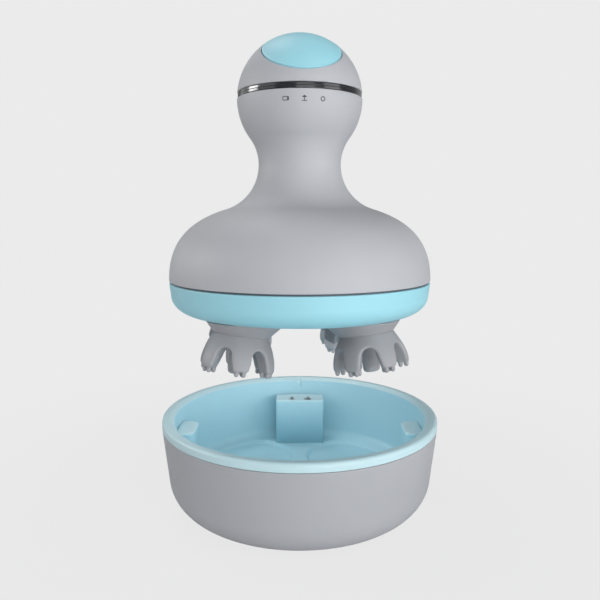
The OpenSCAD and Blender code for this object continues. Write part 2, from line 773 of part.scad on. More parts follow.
// ---------------------------------------------------------------- Claw heads
// The side swells from the palm to its full radius over bell_h, like a bell
bell_w = 4.6;
bell_h = 14;
cavity_flare = 3;
arch_spread = 1.2;
arch_lead = 3;
post_drop = 2.4;
post_round = 1.5;
spindle_sink = 1;
spindle_end = -palm_z + palm_t + spindle_sink;
outer_nub_y = 1.5;
inner_nub_x = -1.2;
inner_nub_y = 1.1;
module claw_head(n) {
    palm_r = head_r - bell_w;
    bell_steps = 9;
    color(claw_grey) head_frame(n) difference() {
        union() {
            difference() {
                rotate_extrude() polygon(concat(
                    [[0, palm_z]],
                    [for (i = [0:bell_steps]) let (a = 90 * i / bell_steps)
                        [palm_r + bell_w * sin(a), palm_z - bell_h * i / bell_steps]],
                    [[tip_r, tip_z], [cavity_r, tip_z],
                        [cavity_r - cavity_flare, palm_z - palm_t], [0, palm_z - palm_t]]));
                rotate([0, 0, finger_phases[n - 1] + 180 / finger_count])
                    for (i = [0:finger_count - 1]) rotate([0, 0, i * 360 / finger_count])
                        finger_arch();
            }
            rotate_extrude() polygon(concat([[0, palm_z], [post_r, palm_z]],
                arc_points([post_r - post_round, tip_z - post_drop + post_round], post_round,
                    0, -90, 4),
                [[0, tip_z - post_drop]]));
            rotate([0, 0, finger_phases[n - 1]]) for (i = [0:finger_count - 1])
                rotate([0, 0, i * 360 / finger_count]) translate([finger_mid_r, 0, 0])
                    for (side = [-1, 1]) {
                        nub(outer_nub_x, side * outer_nub_y);
                        nub(inner_nub_x, side * inner_nub_y);
                    }
        }
        translate([0, 0, -spindle_end]) cylinder(r = spindle_r, h = spindle_end);
    }
}

// The gap between two fingers, running outwards from the head's cavity
module finger_arch() {
    arch_z = palm_z - palm_t - arch_w / 2;
    foot_w = arch_w / 2 + arch_spread;
    translate([cavity_r - cavity_flare - arch_lead, 0, 0]) rotate([90, 0, 90])
        linear_extrude(height = head_r) {
            translate([0, arch_z]) circle(r = arch_w / 2, $fn = 48);
            polygon([[-arch_w / 2, arch_z], [arch_w / 2, arch_z],
                [foot_w, tip_z - 1], [-foot_w, tip_z - 1]]);
        }
}

module nub(x, y) {
    translate([x, y, tip_z - nub_h + nub_r]) {
        cylinder(r = nub_r, h = nub_h, $fn = 32);
        sphere(r = nub_r, $fn = 32);
    }
}

// ---------------------------------------------------------------- Dock
// The liner's inside is set by the lower ring that nests in it, and the bowl by the liner
liner_top_r = body_r - ring_draft + nest_gap;
liner_low_r = liner_top_r - liner_draft;
rim_crest_r = liner_top_r + bevel_w;
bowl_top_r = liner_top_r + rim_w;
bowl_low_r = bowl_top_r - bowl_draft;
bowl_h = rim_top_z - rim_h - side_gap;
bowl_low_z = foot_h;
bowl_curve_c = [bowl_low_r - bowl_curve_r, bowl_low_z + bowl_curve_r];
bowl_lean = atan2(bowl_top_r - bowl_low_r, bowl_h - bowl_curve_c[1]);
function bowl_outline(inset) = concat(
    [[0, bowl_low_z + inset]],
    arc_points(bowl_curve_c, bowl_curve_r - inset, -90, -bowl_lean, 12),
    [[bowl_top_r - inset, bowl_h]]);

dock_screw_azimuths = [0, 180, 270];
dock_screw_inset = 16.4;
dock_screw_ring_r = liner_low_r - dock_screw_inset;
dock_screw_l = 6.4;
foot_azimuths = [45, 135, 225, 315];
foot_inset = 3.1;
foot_ring_r = bowl_curve_c[0] - foot_inset - foot_r;
foot_sink = 0.8;
dock_head_h = 1.1;
dock_pocket_d = 1.3;
// The charge board stands on two standoffs, with the charging socket on its rear edge
standoff_r = 2;
standoff_h = 1.1;
dock_board_w = 26;
dock_board_l = 13.6;
dock_board_t = 1.2;
dock_board_inset = 12.9;
dock_board_y = bowl_low_r - dock_board_inset - dock_board_l;
dock_board_z = bowl_low_z + bowl_wall + standoff_h;
socket_w = 8.94;
socket_h = 3.2;
socket_l = 8.6;
socket_lap = 1.2;
socket_y = dock_board_y + dock_board_l - socket_lap;
socket_z = dock_board_z + dock_board_t;
module dock_bowl() {
    color(grey) difference() {
        union() {
            rotate_extrude() polygon(concat(bowl_outline(0), reversed(bowl_outline(bowl_wall))));
            for (side = [-1, 1])
                translate([side * (dock_board_w / 2 - 1.5 * standoff_r),
                        dock_board_y + 3 * standoff_r, bowl_low_z + bowl_wall / 2])
                    cylinder(r = standoff_r, h = bowl_wall / 2 + standoff_h);
        }
        around(foot_azimuths, foot_ring_r) translate([0, 0, bowl_low_z - eps])
            cylinder(r = foot_r + side_gap / 2, h = foot_sink + eps);
        around(dock_screw_azimuths, dock_screw_ring_r) translate([0, 0, bowl_low_z - eps]) {
            cylinder(r = screw_head_r + side_gap, h = dock_pocket_d + eps);
            cylinder(r = screw_r + side_gap, h = 2 * bowl_wall);
        }
        translate([-socket_w / 2 - side_gap, socket_y, socket_z - side_gap])
            cube([socket_w + 2 * side_gap, bowl_top_r, socket_h + 2 * side_gap]);
    }
}

rim_z = bowl_h + side_gap;
rim_round = 2;
floor_curve_r = 4.5;
floor_curve_c = [liner_low_r - floor_curve_r, floor_z + floor_curve_r];
locate_h = 3.4;
locate_t = 1.4;
function liner_inside(gap) = concat(
    [[liner_top_r - gap, rim_top_z - bevel_h]],
    arc_points(floor_curve_c, floor_curve_r - gap, 0, -90, 6));

cup_ring_r = head_pitch_r - 0.5;
cup_limit_r = liner_low_r - floor_curve_r - 1;
boss_foot_z = bowl_low_z + bowl_wall + side_gap;
module dock_liner() {
    locate_r = bowl_top_r - bowl_wall - 3 * side_gap;
    wall_top_r = locate_r - locate_t;
    color(blue) difference() {
        union() {
            rotate_extrude() polygon(concat(
                [[0, floor_z - liner_t]],
                arc_points(floor_curve_c, floor_curve_r + liner_t, -90, 0, 6),
                [[wall_top_r, rim_z - locate_h], [locate_r, rim_z - locate_h],
                    [locate_r, rim_z], [bowl_top_r, rim_z]],
                arc_points([bowl_top_r - rim_round, rim_top_z - rim_round], rim_round, 0, 90, 4),
                [[rim_crest_r, rim_top_z]],
                liner_inside(0),
                [[0, floor_z]]));
            for (side = [0, 180]) rotate([0, 0, side]) side_tab();
            cups(liner_t, cup_depth + liner_t / 2);
            around(dock_screw_azimuths, dock_screw_ring_r) translate([0, 0, boss_foot_z])
                cylinder(r = boss_r, h = floor_z - liner_t / 2 - boss_foot_z);
        }
        cups(0, 2 * cup_depth);
        around(dock_screw_azimuths, dock_screw_ring_r) translate([0, 0, boss_foot_z - eps])
            cylinder(r = screw_r + run_fit, h = dock_screw_l - side_gap);
        for (side = [-1, 1]) translate([side * pin_pitch / 2, pin_y, 0])
            cylinder(r = tail_r + side_gap, h = floor_z + barrel_step, $fn = 32);
    }
}

module cups(grow, h) {
    intersection() {
        around(foot_azimuths, cup_ring_r) translate([0, 0, floor_z - cup_depth - grow])
            cylinder(r = cup_r + grow, h = h);
        cylinder(r = cup_limit_r + grow, h = floor_z + h);
    }
}

module side_tab() {
    sink = liner_t / 3;
    intersection() {
        translate([ring_foot_r + tab_setback, -tab_l / 2, floor_z - sink])
            cube([bowl_top_r, tab_l, ledge_z - floor_z + sink]);
        rotate_extrude() polygon(concat(
            [[0, ledge_z]], liner_inside(-sink), [[0, floor_z - sink]]));
    }
}

tail_r = 1;
barrel_step = 1;
barrel_r = 1.5;
barrel_flange_r = 2;
barrel_flange_t = 0.6;
barrel_bore_h = 14.5;
barrel_floor_z = ledge_z - barrel_bore_h;
spring_h = 7;
barrel_bottom_z = floor_z + barrel_step;
slot_w = 14;
slot_h = 1.8;
slot_d = 3;
module contact_block() {
    block_y = pin_y - block_front;
    color(blue) difference() {
        intersection() {
            translate([-block_w / 2, block_y, floor_z])
                cube([block_w, bowl_top_r, ledge_z - floor_z]);
            rotate_extrude() polygon(concat([[0, ledge_z + 1]], liner_inside(side_gap),
                [[floor_curve_c[0], floor_z], [0, floor_z]]));
        }
        for (side = [-1, 1]) translate([side * pin_pitch / 2, pin_y, 0]) {
            cylinder(r = barrel_r + run_fit, h = ledge_z + 1, $fn = 32);
            translate([0, 0, ledge_z - barrel_flange_t])
                cylinder(r = barrel_flange_r + run_fit, h = ledge_z, $fn = 32);
        }
        translate([-slot_w / 2, block_y - 1, floor_z - 1]) cube([slot_w, slot_d - 1, slot_h + 1]);
    }
}

module pin_barrels() {
    color(steel) for (side = [-1, 1]) translate([side * pin_pitch / 2, pin_y, 0]) difference() {
        union() {
            translate([0, 0, socket_z]) cylinder(r = tail_r, h = ledge_z - socket_z, $fn = 32);
            translate([0, 0, barrel_bottom_z])
                cylinder(r = barrel_r, h = ledge_z - barrel_bottom_z, $fn = 32);
            translate([0, 0, ledge_z - barrel_flange_t])
                cylinder(r = barrel_flange_r, h = barrel_flange_t, $fn = 32);
        }
        translate([0, 0, barrel_floor_z]) cylinder(r = pin_r + run_fit, h = ledge_z, $fn = 32);
    }
}

pin_top_z = ledge_z + pin_rise;
module contact_pin(side) {
    pin_low = barrel_floor_z + spring_h;
    color(brass) translate([side * pin_pitch / 2, pin_y, 0]) union() {
        translate([0, 0, pin_low])
            cylinder(r = pin_r, h = pin_top_z - pin_r / 2 - pin_low, $fn = 32);
        translate([0, 0, pin_top_z - pin_r / 2]) cylinder(r = pin_r * 0.75, h = pin_r / 2, $fn = 32);
    }
}

spring_turns = 6;
wire_r = 0.16;
coil_r = pin_r - wire_r - 0.03;
module pin_spring(side) {
    steps = 12 * spring_turns;
    sides = 5;
    pitch_h = (spring_h - 2 * wire_r - 0.04) / steps;
    rings = [for (i = [0:steps]) let (a = i * 30) [for (k = [0:sides - 1])
        let (b = k * 360 / sides, r = coil_r + wire_r * cos(b))
        [r * cos(a), r * sin(a), wire_r + 0.02 + i * pitch_h + wire_r * sin(b)]]];
    points = [for (ring = rings) each ring];
    walls = [for (i = [0:steps - 1], k = [0:sides - 1]) let (m = (k + 1) % sides)
        each [[i * sides + k, (i + 1) * sides + k, (i + 1) * sides + m],
            [i * sides + k, (i + 1) * sides + m, i * sides + m]]];
    color(steel) translate([side * pin_pitch / 2, pin_y, barrel_floor_z]) polyhedron(
        points = points,
        faces = concat(walls, [[for (k = [0:sides - 1]) k]],
            [[for (k = [sides - 1:-1:0]) steps * sides + k]]));
}

module dock_board() {
    color(green) translate([-dock_board_w / 2, dock_board_y, dock_board_z])
        cube([dock_board_w, dock_board_l, dock_board_t]);
}

module charge_socket() {
    tongue_w = 6.7;
    metal_t = 0.3;
    inner_w = socket_w - 2 * metal_t;
    inner_h = socket_h - 2 * metal_t;
    color(steel) translate([0, socket_y, socket_z + socket_h / 2]) rotate([-90, 0, 0]) union() {
        difference() {
            linear_extrude(height = socket_l) slot_outline(socket_w, socket_h);
            translate([0, 0, 2]) linear_extrude(height = socket_l) slot_outline(inner_w, inner_h);
        }
        translate([-tongue_w / 2, -0.35, 1]) cube([tongue_w, 0.7, socket_l - 2]);
    }
}

module slot_outline(w, h) {
    union() {
        for (side = [-1, 1]) translate([side * (w - h) / 2, 0]) circle(r = h / 2, $fn = 48);
        square([w - h, h], center = true);
    }
}

module dock_screws() {
    color(steel) around(dock_screw_azimuths, dock_screw_ring_r)
        translate([0, 0, bowl_low_z + dock_pocket_d - dock_head_h])
            screw(screw_r, dock_screw_l, screw_head_r, dock_head_h);
}

module dock_feet() {
    color(dark) around(foot_azimuths, foot_ring_r) cylinder(r = foot_r, h = foot_h + foot_sink);
}

body_shell();
crown_shell();
trim_band();
power_button();
switch_stem();
tact_switch();
switch_bracket();
control_board();
indicator_board();
light_guides();
battery_cell();
battery_cradle();
motor_can();
reduction_gearbox();
drive_shaft();
sun_gear();
gear_deck();
claw_gear(1);  // claw_gear_1
claw_gear(2);  // claw_gear_2
claw_gear(3);  // claw_gear_3
claw_gear(4);  // claw_gear_4
claw_spindle(1);  // claw_spindle_1
claw_spindle(2);  // claw_spindle_2
claw_spindle(3);  // claw_spindle_3
claw_spindle(4);  // claw_spindle_4
claw_head(1);  // claw_head_1
claw_head(2);  // claw_head_2
claw_head(3);  // claw_head_3
claw_head(4);  // claw_head_4
spindle_bushings();
shaft_seals();
head_collar(1);  // head_collar_1
head_collar(2);  // head_collar_2
head_collar(3);  // head_collar_3
head_collar(4);  // head_collar_4
lower_ring();
seam_gasket();
bottom_plate();
contact_pads();
housing_screws();
deck_screws();
motor_screws();
dock_bowl();
dock_liner();
contact_block();
contact_pin(-1);  // contact_pin_left
contact_pin(1);  // contact_pin_right
pin_spring(-1);  // pin_spring_left
pin_spring(1);  // pin_spring_right
pin_barrels();
dock_board();
charge_socket();
dock_screws();
dock_feet();
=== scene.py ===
import json
import math

import bmesh
import bpy
import numpy as np
from mathutils import Matrix, Vector


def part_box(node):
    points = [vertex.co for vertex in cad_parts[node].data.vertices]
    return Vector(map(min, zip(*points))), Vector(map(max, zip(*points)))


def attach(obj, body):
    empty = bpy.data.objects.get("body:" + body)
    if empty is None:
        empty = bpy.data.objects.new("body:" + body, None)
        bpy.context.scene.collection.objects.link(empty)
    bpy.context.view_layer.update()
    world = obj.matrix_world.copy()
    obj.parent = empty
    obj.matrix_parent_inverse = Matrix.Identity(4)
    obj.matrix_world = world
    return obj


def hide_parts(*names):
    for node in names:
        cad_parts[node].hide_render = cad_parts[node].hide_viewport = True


# The looks of a scalp massager lifted above its charging dock. Lengths are in millimetres
# until a mesh is made, and every piece is built in the frame of the body that carries it.
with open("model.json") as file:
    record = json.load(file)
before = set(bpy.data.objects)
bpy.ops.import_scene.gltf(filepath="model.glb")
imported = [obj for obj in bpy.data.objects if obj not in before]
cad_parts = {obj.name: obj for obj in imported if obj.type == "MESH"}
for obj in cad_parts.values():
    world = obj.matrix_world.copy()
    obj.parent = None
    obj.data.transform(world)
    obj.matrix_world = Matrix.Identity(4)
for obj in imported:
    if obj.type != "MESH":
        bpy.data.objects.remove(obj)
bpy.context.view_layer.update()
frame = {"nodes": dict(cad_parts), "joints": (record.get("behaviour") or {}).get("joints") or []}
MM = 0.001

# ---------------------------------------------------------------- Sizes
BODY_R = 61.1
NECK_R = 19.1
NECK_Z = 53.6
NECK_CURVE_R = 21.5
SHOULDER_SLOPE = math.radians(17.2)
SHOULDER_PULL = 15.1
BODY_PULL = 20.1
GRIP_R = 28.7
GRIP_Z = 82.6
WALL = 2.4
SEAM_HALF = 0.4
BAND_LOW = 82.65
BAND_HIGH = 85.25
BAND_SINK = 0.4
BAND_GAP = 0.1
BAND_T = 1.8
BAND_PROUD = 0.05
GROOVE_UP = 1.3
GROOVE_HALF = 0.15
GROOVE_D = 0.12
BUTTON_R = 17.35
BUTTON_GAP = 0.25
BUTTON_LIP = 1.6
BUTTON_INSIDE = 34
SKIRT_T = 1.75
SKIRT_LOW = 16.6
SKIRT_TOP = 19.8
FLANGE_W = 0.85
FLANGE_TOP = 17.0
RING_H = 14.7
RING_FOOT_R = 49.8
RING_ROUND_H = 8.7
RING_DRAFT = 0.7
PLATE_SEAT_R = 44.5
PLATE_SEAT_LOW = -12.3
PLATE_SEAT_HIGH = -10.3
COLLAR_R = 12.2
COLLAR_H = 7.1
COLLAR_FLARE = math.radians(42)
COLLAR_BORE_R = 3.6
COLLAR_BORE_TOP = -3.0
COLLAR_LIP_R = 4.4
COLLAR_EDGE = 0.4
PALM_Z = -6.8
PALM_T = 6.2
PALM_R = 11.8
HEAD_R = 16.7
HEAD_H = 14.6
BELL_H = 14.0
TIP_R = 16.8
CAVITY_R = 7.8
CAVITY_FLARE = 3.3
POST_R = 3.7
POST_DROP = 2.4
POST_ROUND = 1.6
ARCH_TOP_W = 3.7
ARCH_FOOT_W = 5.0
ARCH_D = 9.3
FINGERS = 6
NUB_R = 1.0
NUB_H = 2.2
NUB_SPOTS = [(15.2, 1.5), (15.2, -1.5), (12.7, 1.2), (12.7, -1.2)]
# Widths over which the parts of a claw head run into each other
PALM_BLEND = 0.5
CAVITY_TOP_BLEND = 1.5
CAVITY_BLEND = 1.8
ARCH_BLEND = 1.7
TIP_BLEND = 1.1
POST_BLEND = 1.4
NUB_BLEND = 0.45
BOWL_FOOT_Z = 0.8
BOWL_LOW_R = 63.5
BOWL_CURVE_R = 16.4
BOWL_WALL = 2.0
BOWL_HUB_R = 30
RIM_ROUND = 1.5
BEVEL_W = 2.1
BEVEL_H = 1.4
LINER_TOP_R = 60.6
LINER_LOW_R = 59.4
LINER_T = 1.8
FLOOR_Z = 11.6
FLOOR_CURVE_R = 4.5
CUP_R = 22.0
CUP_DEPTH = 2.4
CUP_RING_R = 37.0
CUP_EDGE_W = 3
CUP_EDGE_SHIFT = 0.35
NOTCH_HALF = 0.7
NOTCH_FADE = 0.35
NOTCH_D = 0.9
NOTCH_H = 5
TAB_X = 50.8
TAB_HALF = 10.0
TAB_CORNER_R = 4.5
TAB_EDGE = 1.1
TAB_SINK = 0.7
BLOCK_HALF = 13.5
BLOCK_FRONT = 44.0
BLOCK_BACK = 57.6
BLOCK_SIDE_CUT = 1.6
BLOCK_CORNER_R = 1.4
BLOCK_EDGE = 0.9
PIN_X = 4.5
SEGMENTS = 256


# ---------------------------------------------------------------- Frames
def turn_z(angle):
    return Matrix.Rotation(angle, 4, "Z")


joints = {joint["name"]: joint for joint in frame["joints"]}
claw_joints = [joints[f"claw_{n}_spin"] for n in range(1, 5)]
HEAD_AZIMUTHS = [math.radians(a) for a in (225, 315, 45, 135)]
FINGER_PHASES = [math.radians(a) for a in (52, 35, 52, 35)]
first_claw = Vector(claw_joints[0]["pos_m"])
HAND_TURN = math.atan2(first_claw.y, first_claw.x) - (HEAD_AZIMUTHS[0] - 2 * math.pi)
SEAM_Z = first_claw.z / MM + RING_H
RIM_TOP_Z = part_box("dock_liner")[1].z / MM
BOWL_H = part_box("dock_bowl")[1].z / MM
BOWL_TOP_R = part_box("dock_bowl")[1].x / MM
LEDGE_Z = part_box("contact_block")[1].z / MM

world_frame = Matrix.Identity(4)
massager_frame = Matrix.Translation((0, 0, SEAM_Z)) @ turn_z(HAND_TURN)
grip_frame = massager_frame @ Matrix.Translation((0, 0, GRIP_Z))


def axis_frame(origin, axis, x_hint):
    """A frame at origin with Z along axis and X as near to x_hint as it can be."""
    z = Vector(axis).normalized()
    x = (Vector(x_hint) - z * z.dot(Vector(x_hint))).normalized()
    return Matrix.Translation(origin) @ Matrix((x, z.cross(x), z)).transposed().to_4x4()


button_axis = -Vector(joints["button_press"]["axis"])
button_frame = axis_frame(grip_frame.to_translation(), button_axis, (1, 0, 0))
head_frames = []
for joint in claw_joints:
    place = Vector(joint["pos_m"]) / MM
    head_frames.append(axis_frame(place, joint["axis"], (place.x, place.y, 0)))


# ---------------------------------------------------------------- Outlines
def arc(centre, radii, start, end, steps):
    """Points on a circle or oval from start to end, in degrees."""
    rx, ry = radii if isinstance(radii, tuple) else (radii, radii)
    angles = np.radians(np.linspace(start, end, steps + 1))
    return [(centre[0] + rx * math.cos(a), centre[1] + ry * math.sin(a)) for a in angles]


def bezier(a, b, c, d, steps):
    a, b, c, d = (np.array(p, float) for p in (a, b, c, d))
    points = []
    for t in np.linspace(0, 1, steps + 1):
        s = 1 - t
        points.append(tuple(s ** 3 * a + 3 * s * s * t * b + 3 * s * t * t * c + t ** 3 * d))
    return points


def rounded(corners, steps=5, closed=True):
    """A polygon of (x, y, corner radius), with each corner turned into an arc."""
    points = []
    count = len(corners)
    for i, (x, y, radius) in enumerate(corners):
        here = np.array((x, y), float)
        if radius == 0 or (not closed and i in (0, count - 1)):
            points.append((x, y))
            continue
        before = np.array(corners[i - 1][:2], float) - here
        after = np.array(corners[(i + 1) % count][:2], float) - here
        before /= np.linalg.norm(before)
        after /= np.linalg.norm(after)
        half = math.acos(np.clip(before @ after, -1, 1)) / 2
        reach = radius / math.tan(half)
        middle = here + (before + after) / np.linalg.norm(before + after) * radius / math.sin(half)
        first = here + before * reach - middle
        last = here + after * reach - middle
        sweep = math.atan2(first[0] * last[1] - first[1] * last[0], first @ last)
        for k in range(steps + 1):
            a = sweep * k / steps
            turned = (first[0] * math.cos(a) - first[1] * math.sin(a),
                      first[0] * math.sin(a) + first[1] * math.cos(a))
            points.append((middle[0] + turned[0], middle[1] + turned[1]))
    return points


def supported(points, margin=0.25, closed=True):
    """Adds a point near each end of a long stretch, so that smooth shading stays in the bends."""
    result = []
    count = len(points)
    for i, point in enumerate(points):
        result.append(point)
        if not closed and i == count - 1:
            break
        a, b = np.array(point, float), np.array(points[(i + 1) % count], float)
        length = np.linalg.norm(b - a)
        if length > 4 * margin:
            result.append(tuple(a + (b - a) * margin / length))
            result.append(tuple(b - (b - a) * margin / length))
    return result


def housing_outline(inset, top_z, steps):
    """The housing from the seam up to top_z, moved inwards by inset."""
    neck_centre = (NECK_R + NECK_CURVE_R, NECK_Z)
    drop = GRIP_Z - NECK_Z
    upper_r = (drop * drop + NECK_R ** 2 - GRIP_R ** 2) / (2 * (GRIP_R - NECK_R))
    join = math.degrees(math.atan2(NECK_Z - GRIP_Z, NECK_R + upper_r))
    slope_sin, slope_cos = math.sin(SHOULDER_SLOPE), math.cos(SHOULDER_SLOPE)
    foot = (BODY_R - inset, SEAM_HALF)
    start = (neck_centre[0] - (NECK_CURVE_R + inset) * slope_sin,
             neck_centre[1] - (NECK_CURVE_R + inset) * slope_cos)
    pull = SHOULDER_PULL - inset / 2
    side = bezier(foot, (foot[0], foot[1] + BODY_PULL - inset / 2),
                  (start[0] + pull * slope_cos, start[1] - pull * slope_sin), start, 2 * steps)
    top = math.degrees(math.asin((top_z - GRIP_Z) / (GRIP_R - inset)))
    lower = arc(neck_centre, NECK_CURVE_R + inset, 270 - math.degrees(SHOULDER_SLOPE), 180, steps)
    upper = arc((NECK_R + upper_r, NECK_Z), upper_r + inset, 180, 180 + join, steps // 2)
    ball = arc((0, GRIP_Z), GRIP_R - inset, join, top, steps)
    return side + lower[1:] + upper[1:] + ball[1:]


# ---------------------------------------------------------------- Meshes
def add_mesh(name, points, faces, place, body, replaces=(), slot=None, material=None):
    """Makes a piece from points in millimetres, and ties it to its body and nodes. Its slot is not used."""
    mesh = bpy.data.meshes.new(name)
    mesh.from_pydata([tuple(p) for p in points], [], faces)
    mesh.transform(Matrix.Scale(MM, 4) @ place)
    mesh.validate()
    bm = bmesh.new()
    bm.from_mesh(mesh)
    bmesh.ops.recalc_face_normals(bm, faces=bm.faces)
    bm.to_mesh(mesh)
    bm.free()
    mesh.polygons.foreach_set("use_smooth", [True] * len(mesh.polygons))
    piece = bpy.data.objects.new(name, mesh)
    bpy.context.scene.collection.objects.link(piece)
    if material:
        mesh.materials.append(material)
    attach(piece, body)
    if replaces:
        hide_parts(*replaces)
    return piece


def grid_faces(rows, columns, close_rows=False):
    """Quads between rows of points that each run once around."""
    faces = []
    for i in range(rows if close_rows else rows - 1):
        a, b = i * columns, (i + 1) % rows * columns
        for j in range(columns):
            k = (j + 1) % columns
            faces.append((a + j, a + k, b + k, b + j))
    return faces


def lathe_points(profile, segments=SEGMENTS):
    angles = np.linspace(0, 2 * math.pi, segments, endpoint=False)
    return [(r * math.cos(a), r * math.sin(a), z) for r, z in profile for a in angles]


def lathe(name, profile, place, body, closed=True, segments=SEGMENTS, **ties):
    """A turned piece. A profile that isn't closed starts and ends on the axis."""
    if closed:
        points = lathe_points(profile, segments)
        return add_mesh(name, points, grid_faces(len(profile), segments, True),
                        place, body, **ties)
    inner = profile[1:-1]
    points = lathe_points(inner, segments)
    faces = grid_faces(len(inner), segments)
    last = (len(inner) - 1) * segments
    for ring, end in ((0, profile[0]), (last, profile[-1])):
        points.append((0, 0, end[1]))
        tip = len(points) - 1
        faces += [(tip, ring + j, ring + (j + 1) % segments) for j in range(segments)]
    return add_mesh(name, points, faces, place, body, **ties)


def inset_outline(outline, inset):
    """A closed, anticlockwise outline moved inwards along its own normals."""
    points = np.array(outline, float)
    ahead = np.roll(points, -1, 0) - points
    behind = points - np.roll(points, 1, 0)
    ahead /= np.linalg.norm(ahead, axis=1)[:, None]
    behind /= np.linalg.norm(behind, axis=1)[:, None]
    normals = np.stack((-(ahead + behind)[:, 1], (ahead + behind)[:, 0]), 1)
    scale = np.linalg.norm(normals, axis=1)[:, None]
    return points + normals / scale * inset * 2 / scale


def prism(name, outline, levels, place, body, **ties):
    """An outline stood up through levels of (inset, z), with flat ends."""
    points = []
    for inset, z in levels:
        points += [(x, y, z) for x, y in inset_outline(outline, inset)]
    count = len(outline)
    faces = grid_faces(len(levels), count)
    faces.append(tuple(range(count)))
    faces.append(tuple(range((len(levels) - 1) * count, len(levels) * count)))
    return add_mesh(name, points, faces, place, body, **ties)


def edge_levels(low, high, radius, steps=5):
    """Levels of a block from low to high whose upper edge is rounded."""
    levels = [(0, low), (0, high - radius - 0.3)]
    for k in range(steps + 1):
        a = math.pi / 2 * k / steps
        levels.append((radius * (1 - math.cos(a)), high - radius * (1 - math.sin(a))))
    return levels + [(radius + 0.3, high)]


# ---------------------------------------------------------------- Materials
def srgb(red, green, blue):
    """A colour given as it looks on a screen, from 0 to 255, turned into linear light."""
    values = []
    for c in (red, green, blue):
        c /= 255
        values.append(c / 12.92 if c <= 0.04045 else ((c + 0.055) / 1.055) ** 2.4)
    return (*values, 1)


MOTTLE_SIZE = 14
GLOSS_SIZE = 5
GLOSS_SPREAD = 0.05
TINT_STOPS = (0.3, 0.7)


def plastic(name, colour, roughness, grain=0.02, grain_size=0.35, mottle=0.03, metallic=0.0):
    """Moulded plastic, rubber or metal: fine surface grain, faint mottling and uneven gloss."""
    material = bpy.data.materials.new(name)
    material.use_nodes = True
    nodes, links = material.node_tree.nodes, material.node_tree.links
    shader = nodes["Principled BSDF"]
    place = nodes.new("ShaderNodeTexCoord")
    shader.inputs["Metallic"].default_value = metallic

    def noise(size, detail):
        node = nodes.new("ShaderNodeTexNoise")
        node.inputs["Scale"].default_value = 1 / (size * MM)
        node.inputs["Detail"].default_value = detail
        links.new(place.outputs["Object"], node.inputs["Vector"])
        return node.outputs["Fac"]

    tint = nodes.new("ShaderNodeValToRGB")
    for stop, factor in zip(tint.color_ramp.elements, (1 - mottle, 1 + mottle)):
        stop.color = (*[min(1, c * factor) for c in colour[:3]], 1)
    for stop, position in zip(tint.color_ramp.elements, TINT_STOPS):
        stop.position = position
    links.new(noise(MOTTLE_SIZE, 3), tint.inputs["Fac"])
    links.new(tint.outputs["Color"], shader.inputs["Base Color"])

    gloss = nodes.new("ShaderNodeMapRange")
    gloss.inputs["To Min"].default_value = roughness - GLOSS_SPREAD
    gloss.inputs["To Max"].default_value = roughness + GLOSS_SPREAD
    links.new(noise(GLOSS_SIZE, 4), gloss.inputs["Value"])
    links.new(gloss.outputs["Result"], shader.inputs["Roughness"])

    bump = nodes.new("ShaderNodeBump")
    bump.inputs["Strength"].default_value = 1.0
    bump.inputs["Distance"].default_value = grain * MM
    links.new(noise(grain_size, 2), bump.inputs["Height"])
    links.new(bump.outputs["Normal"], shader.inputs["Normal"])
    return material


GREY = srgb(185, 187, 192)
BLUE = srgb(160, 220, 234)
mat_housing = plastic("housing_plastic", GREY, 0.58, grain=0.006, mottle=0.012)
mat_bowl = plastic("bowl_plastic", srgb(176, 178, 183), 0.58, grain=0.006, mottle=0.012)
mat_blue = plastic("blue_plastic", BLUE, 0.5, grain=0.004, mottle=0.012)
mat_liner = plastic("liner_plastic", srgb(180, 222, 234), 0.45, grain=0.004, mottle=0.012)
# A paler copy of the liner's blue: painted light from above on the upward faces of the rim, tabs and block.
mat_painted_top_light = plastic("liner_painted_top_light", srgb(200, 230, 237), 0.45, grain=0.004, mottle=0.012)
mat_band = plastic("black_band", srgb(34, 35, 40), 0.14, grain=0.002, mottle=0.04)
mat_gasket = plastic("dark_gasket", srgb(82, 92, 100), 0.6, grain=0.01)
mat_silicone = plastic("grey_silicone", srgb(160, 161, 165), 0.55, grain=0.02, grain_size=0.25)
mat_plate = plastic("plate_plastic", srgb(150, 151, 155), 0.5, grain=0.012)
mat_print = plastic("icon_print", srgb(58, 60, 66), 0.5, grain=0.002)
mat_steel = plastic("steel", srgb(190, 190, 192), 0.3, grain=0.004, metallic=1.0)
mat_pin = plastic("contact_metal", srgb(128, 134, 138), 0.35, grain=0.002, metallic=1.0)
mat_gold = plastic("gold_contact", srgb(214, 184, 120), 0.24, grain=0.002, metallic=1.0)
mat_rubber = plastic("black_rubber", srgb(30, 30, 32), 0.7, grain=0.03)
mat_white = plastic("natural_acetal", srgb(222, 218, 206), 0.4)
mat_green = plastic("solder_mask", srgb(24, 92, 60), 0.35)
mat_bronze = plastic("sintered_bronze", srgb(160, 118, 66), 0.45, metallic=1.0)
mat_cell = plastic("cell_wrap", srgb(50, 96, 150), 0.35)
mat_light = plastic("light_guide", srgb(226, 230, 236), 0.2)
mat_black = plastic("black_plastic", srgb(40, 41, 44), 0.5)


# ---------------------------------------------------------------- Housing
EDGE = 0.35


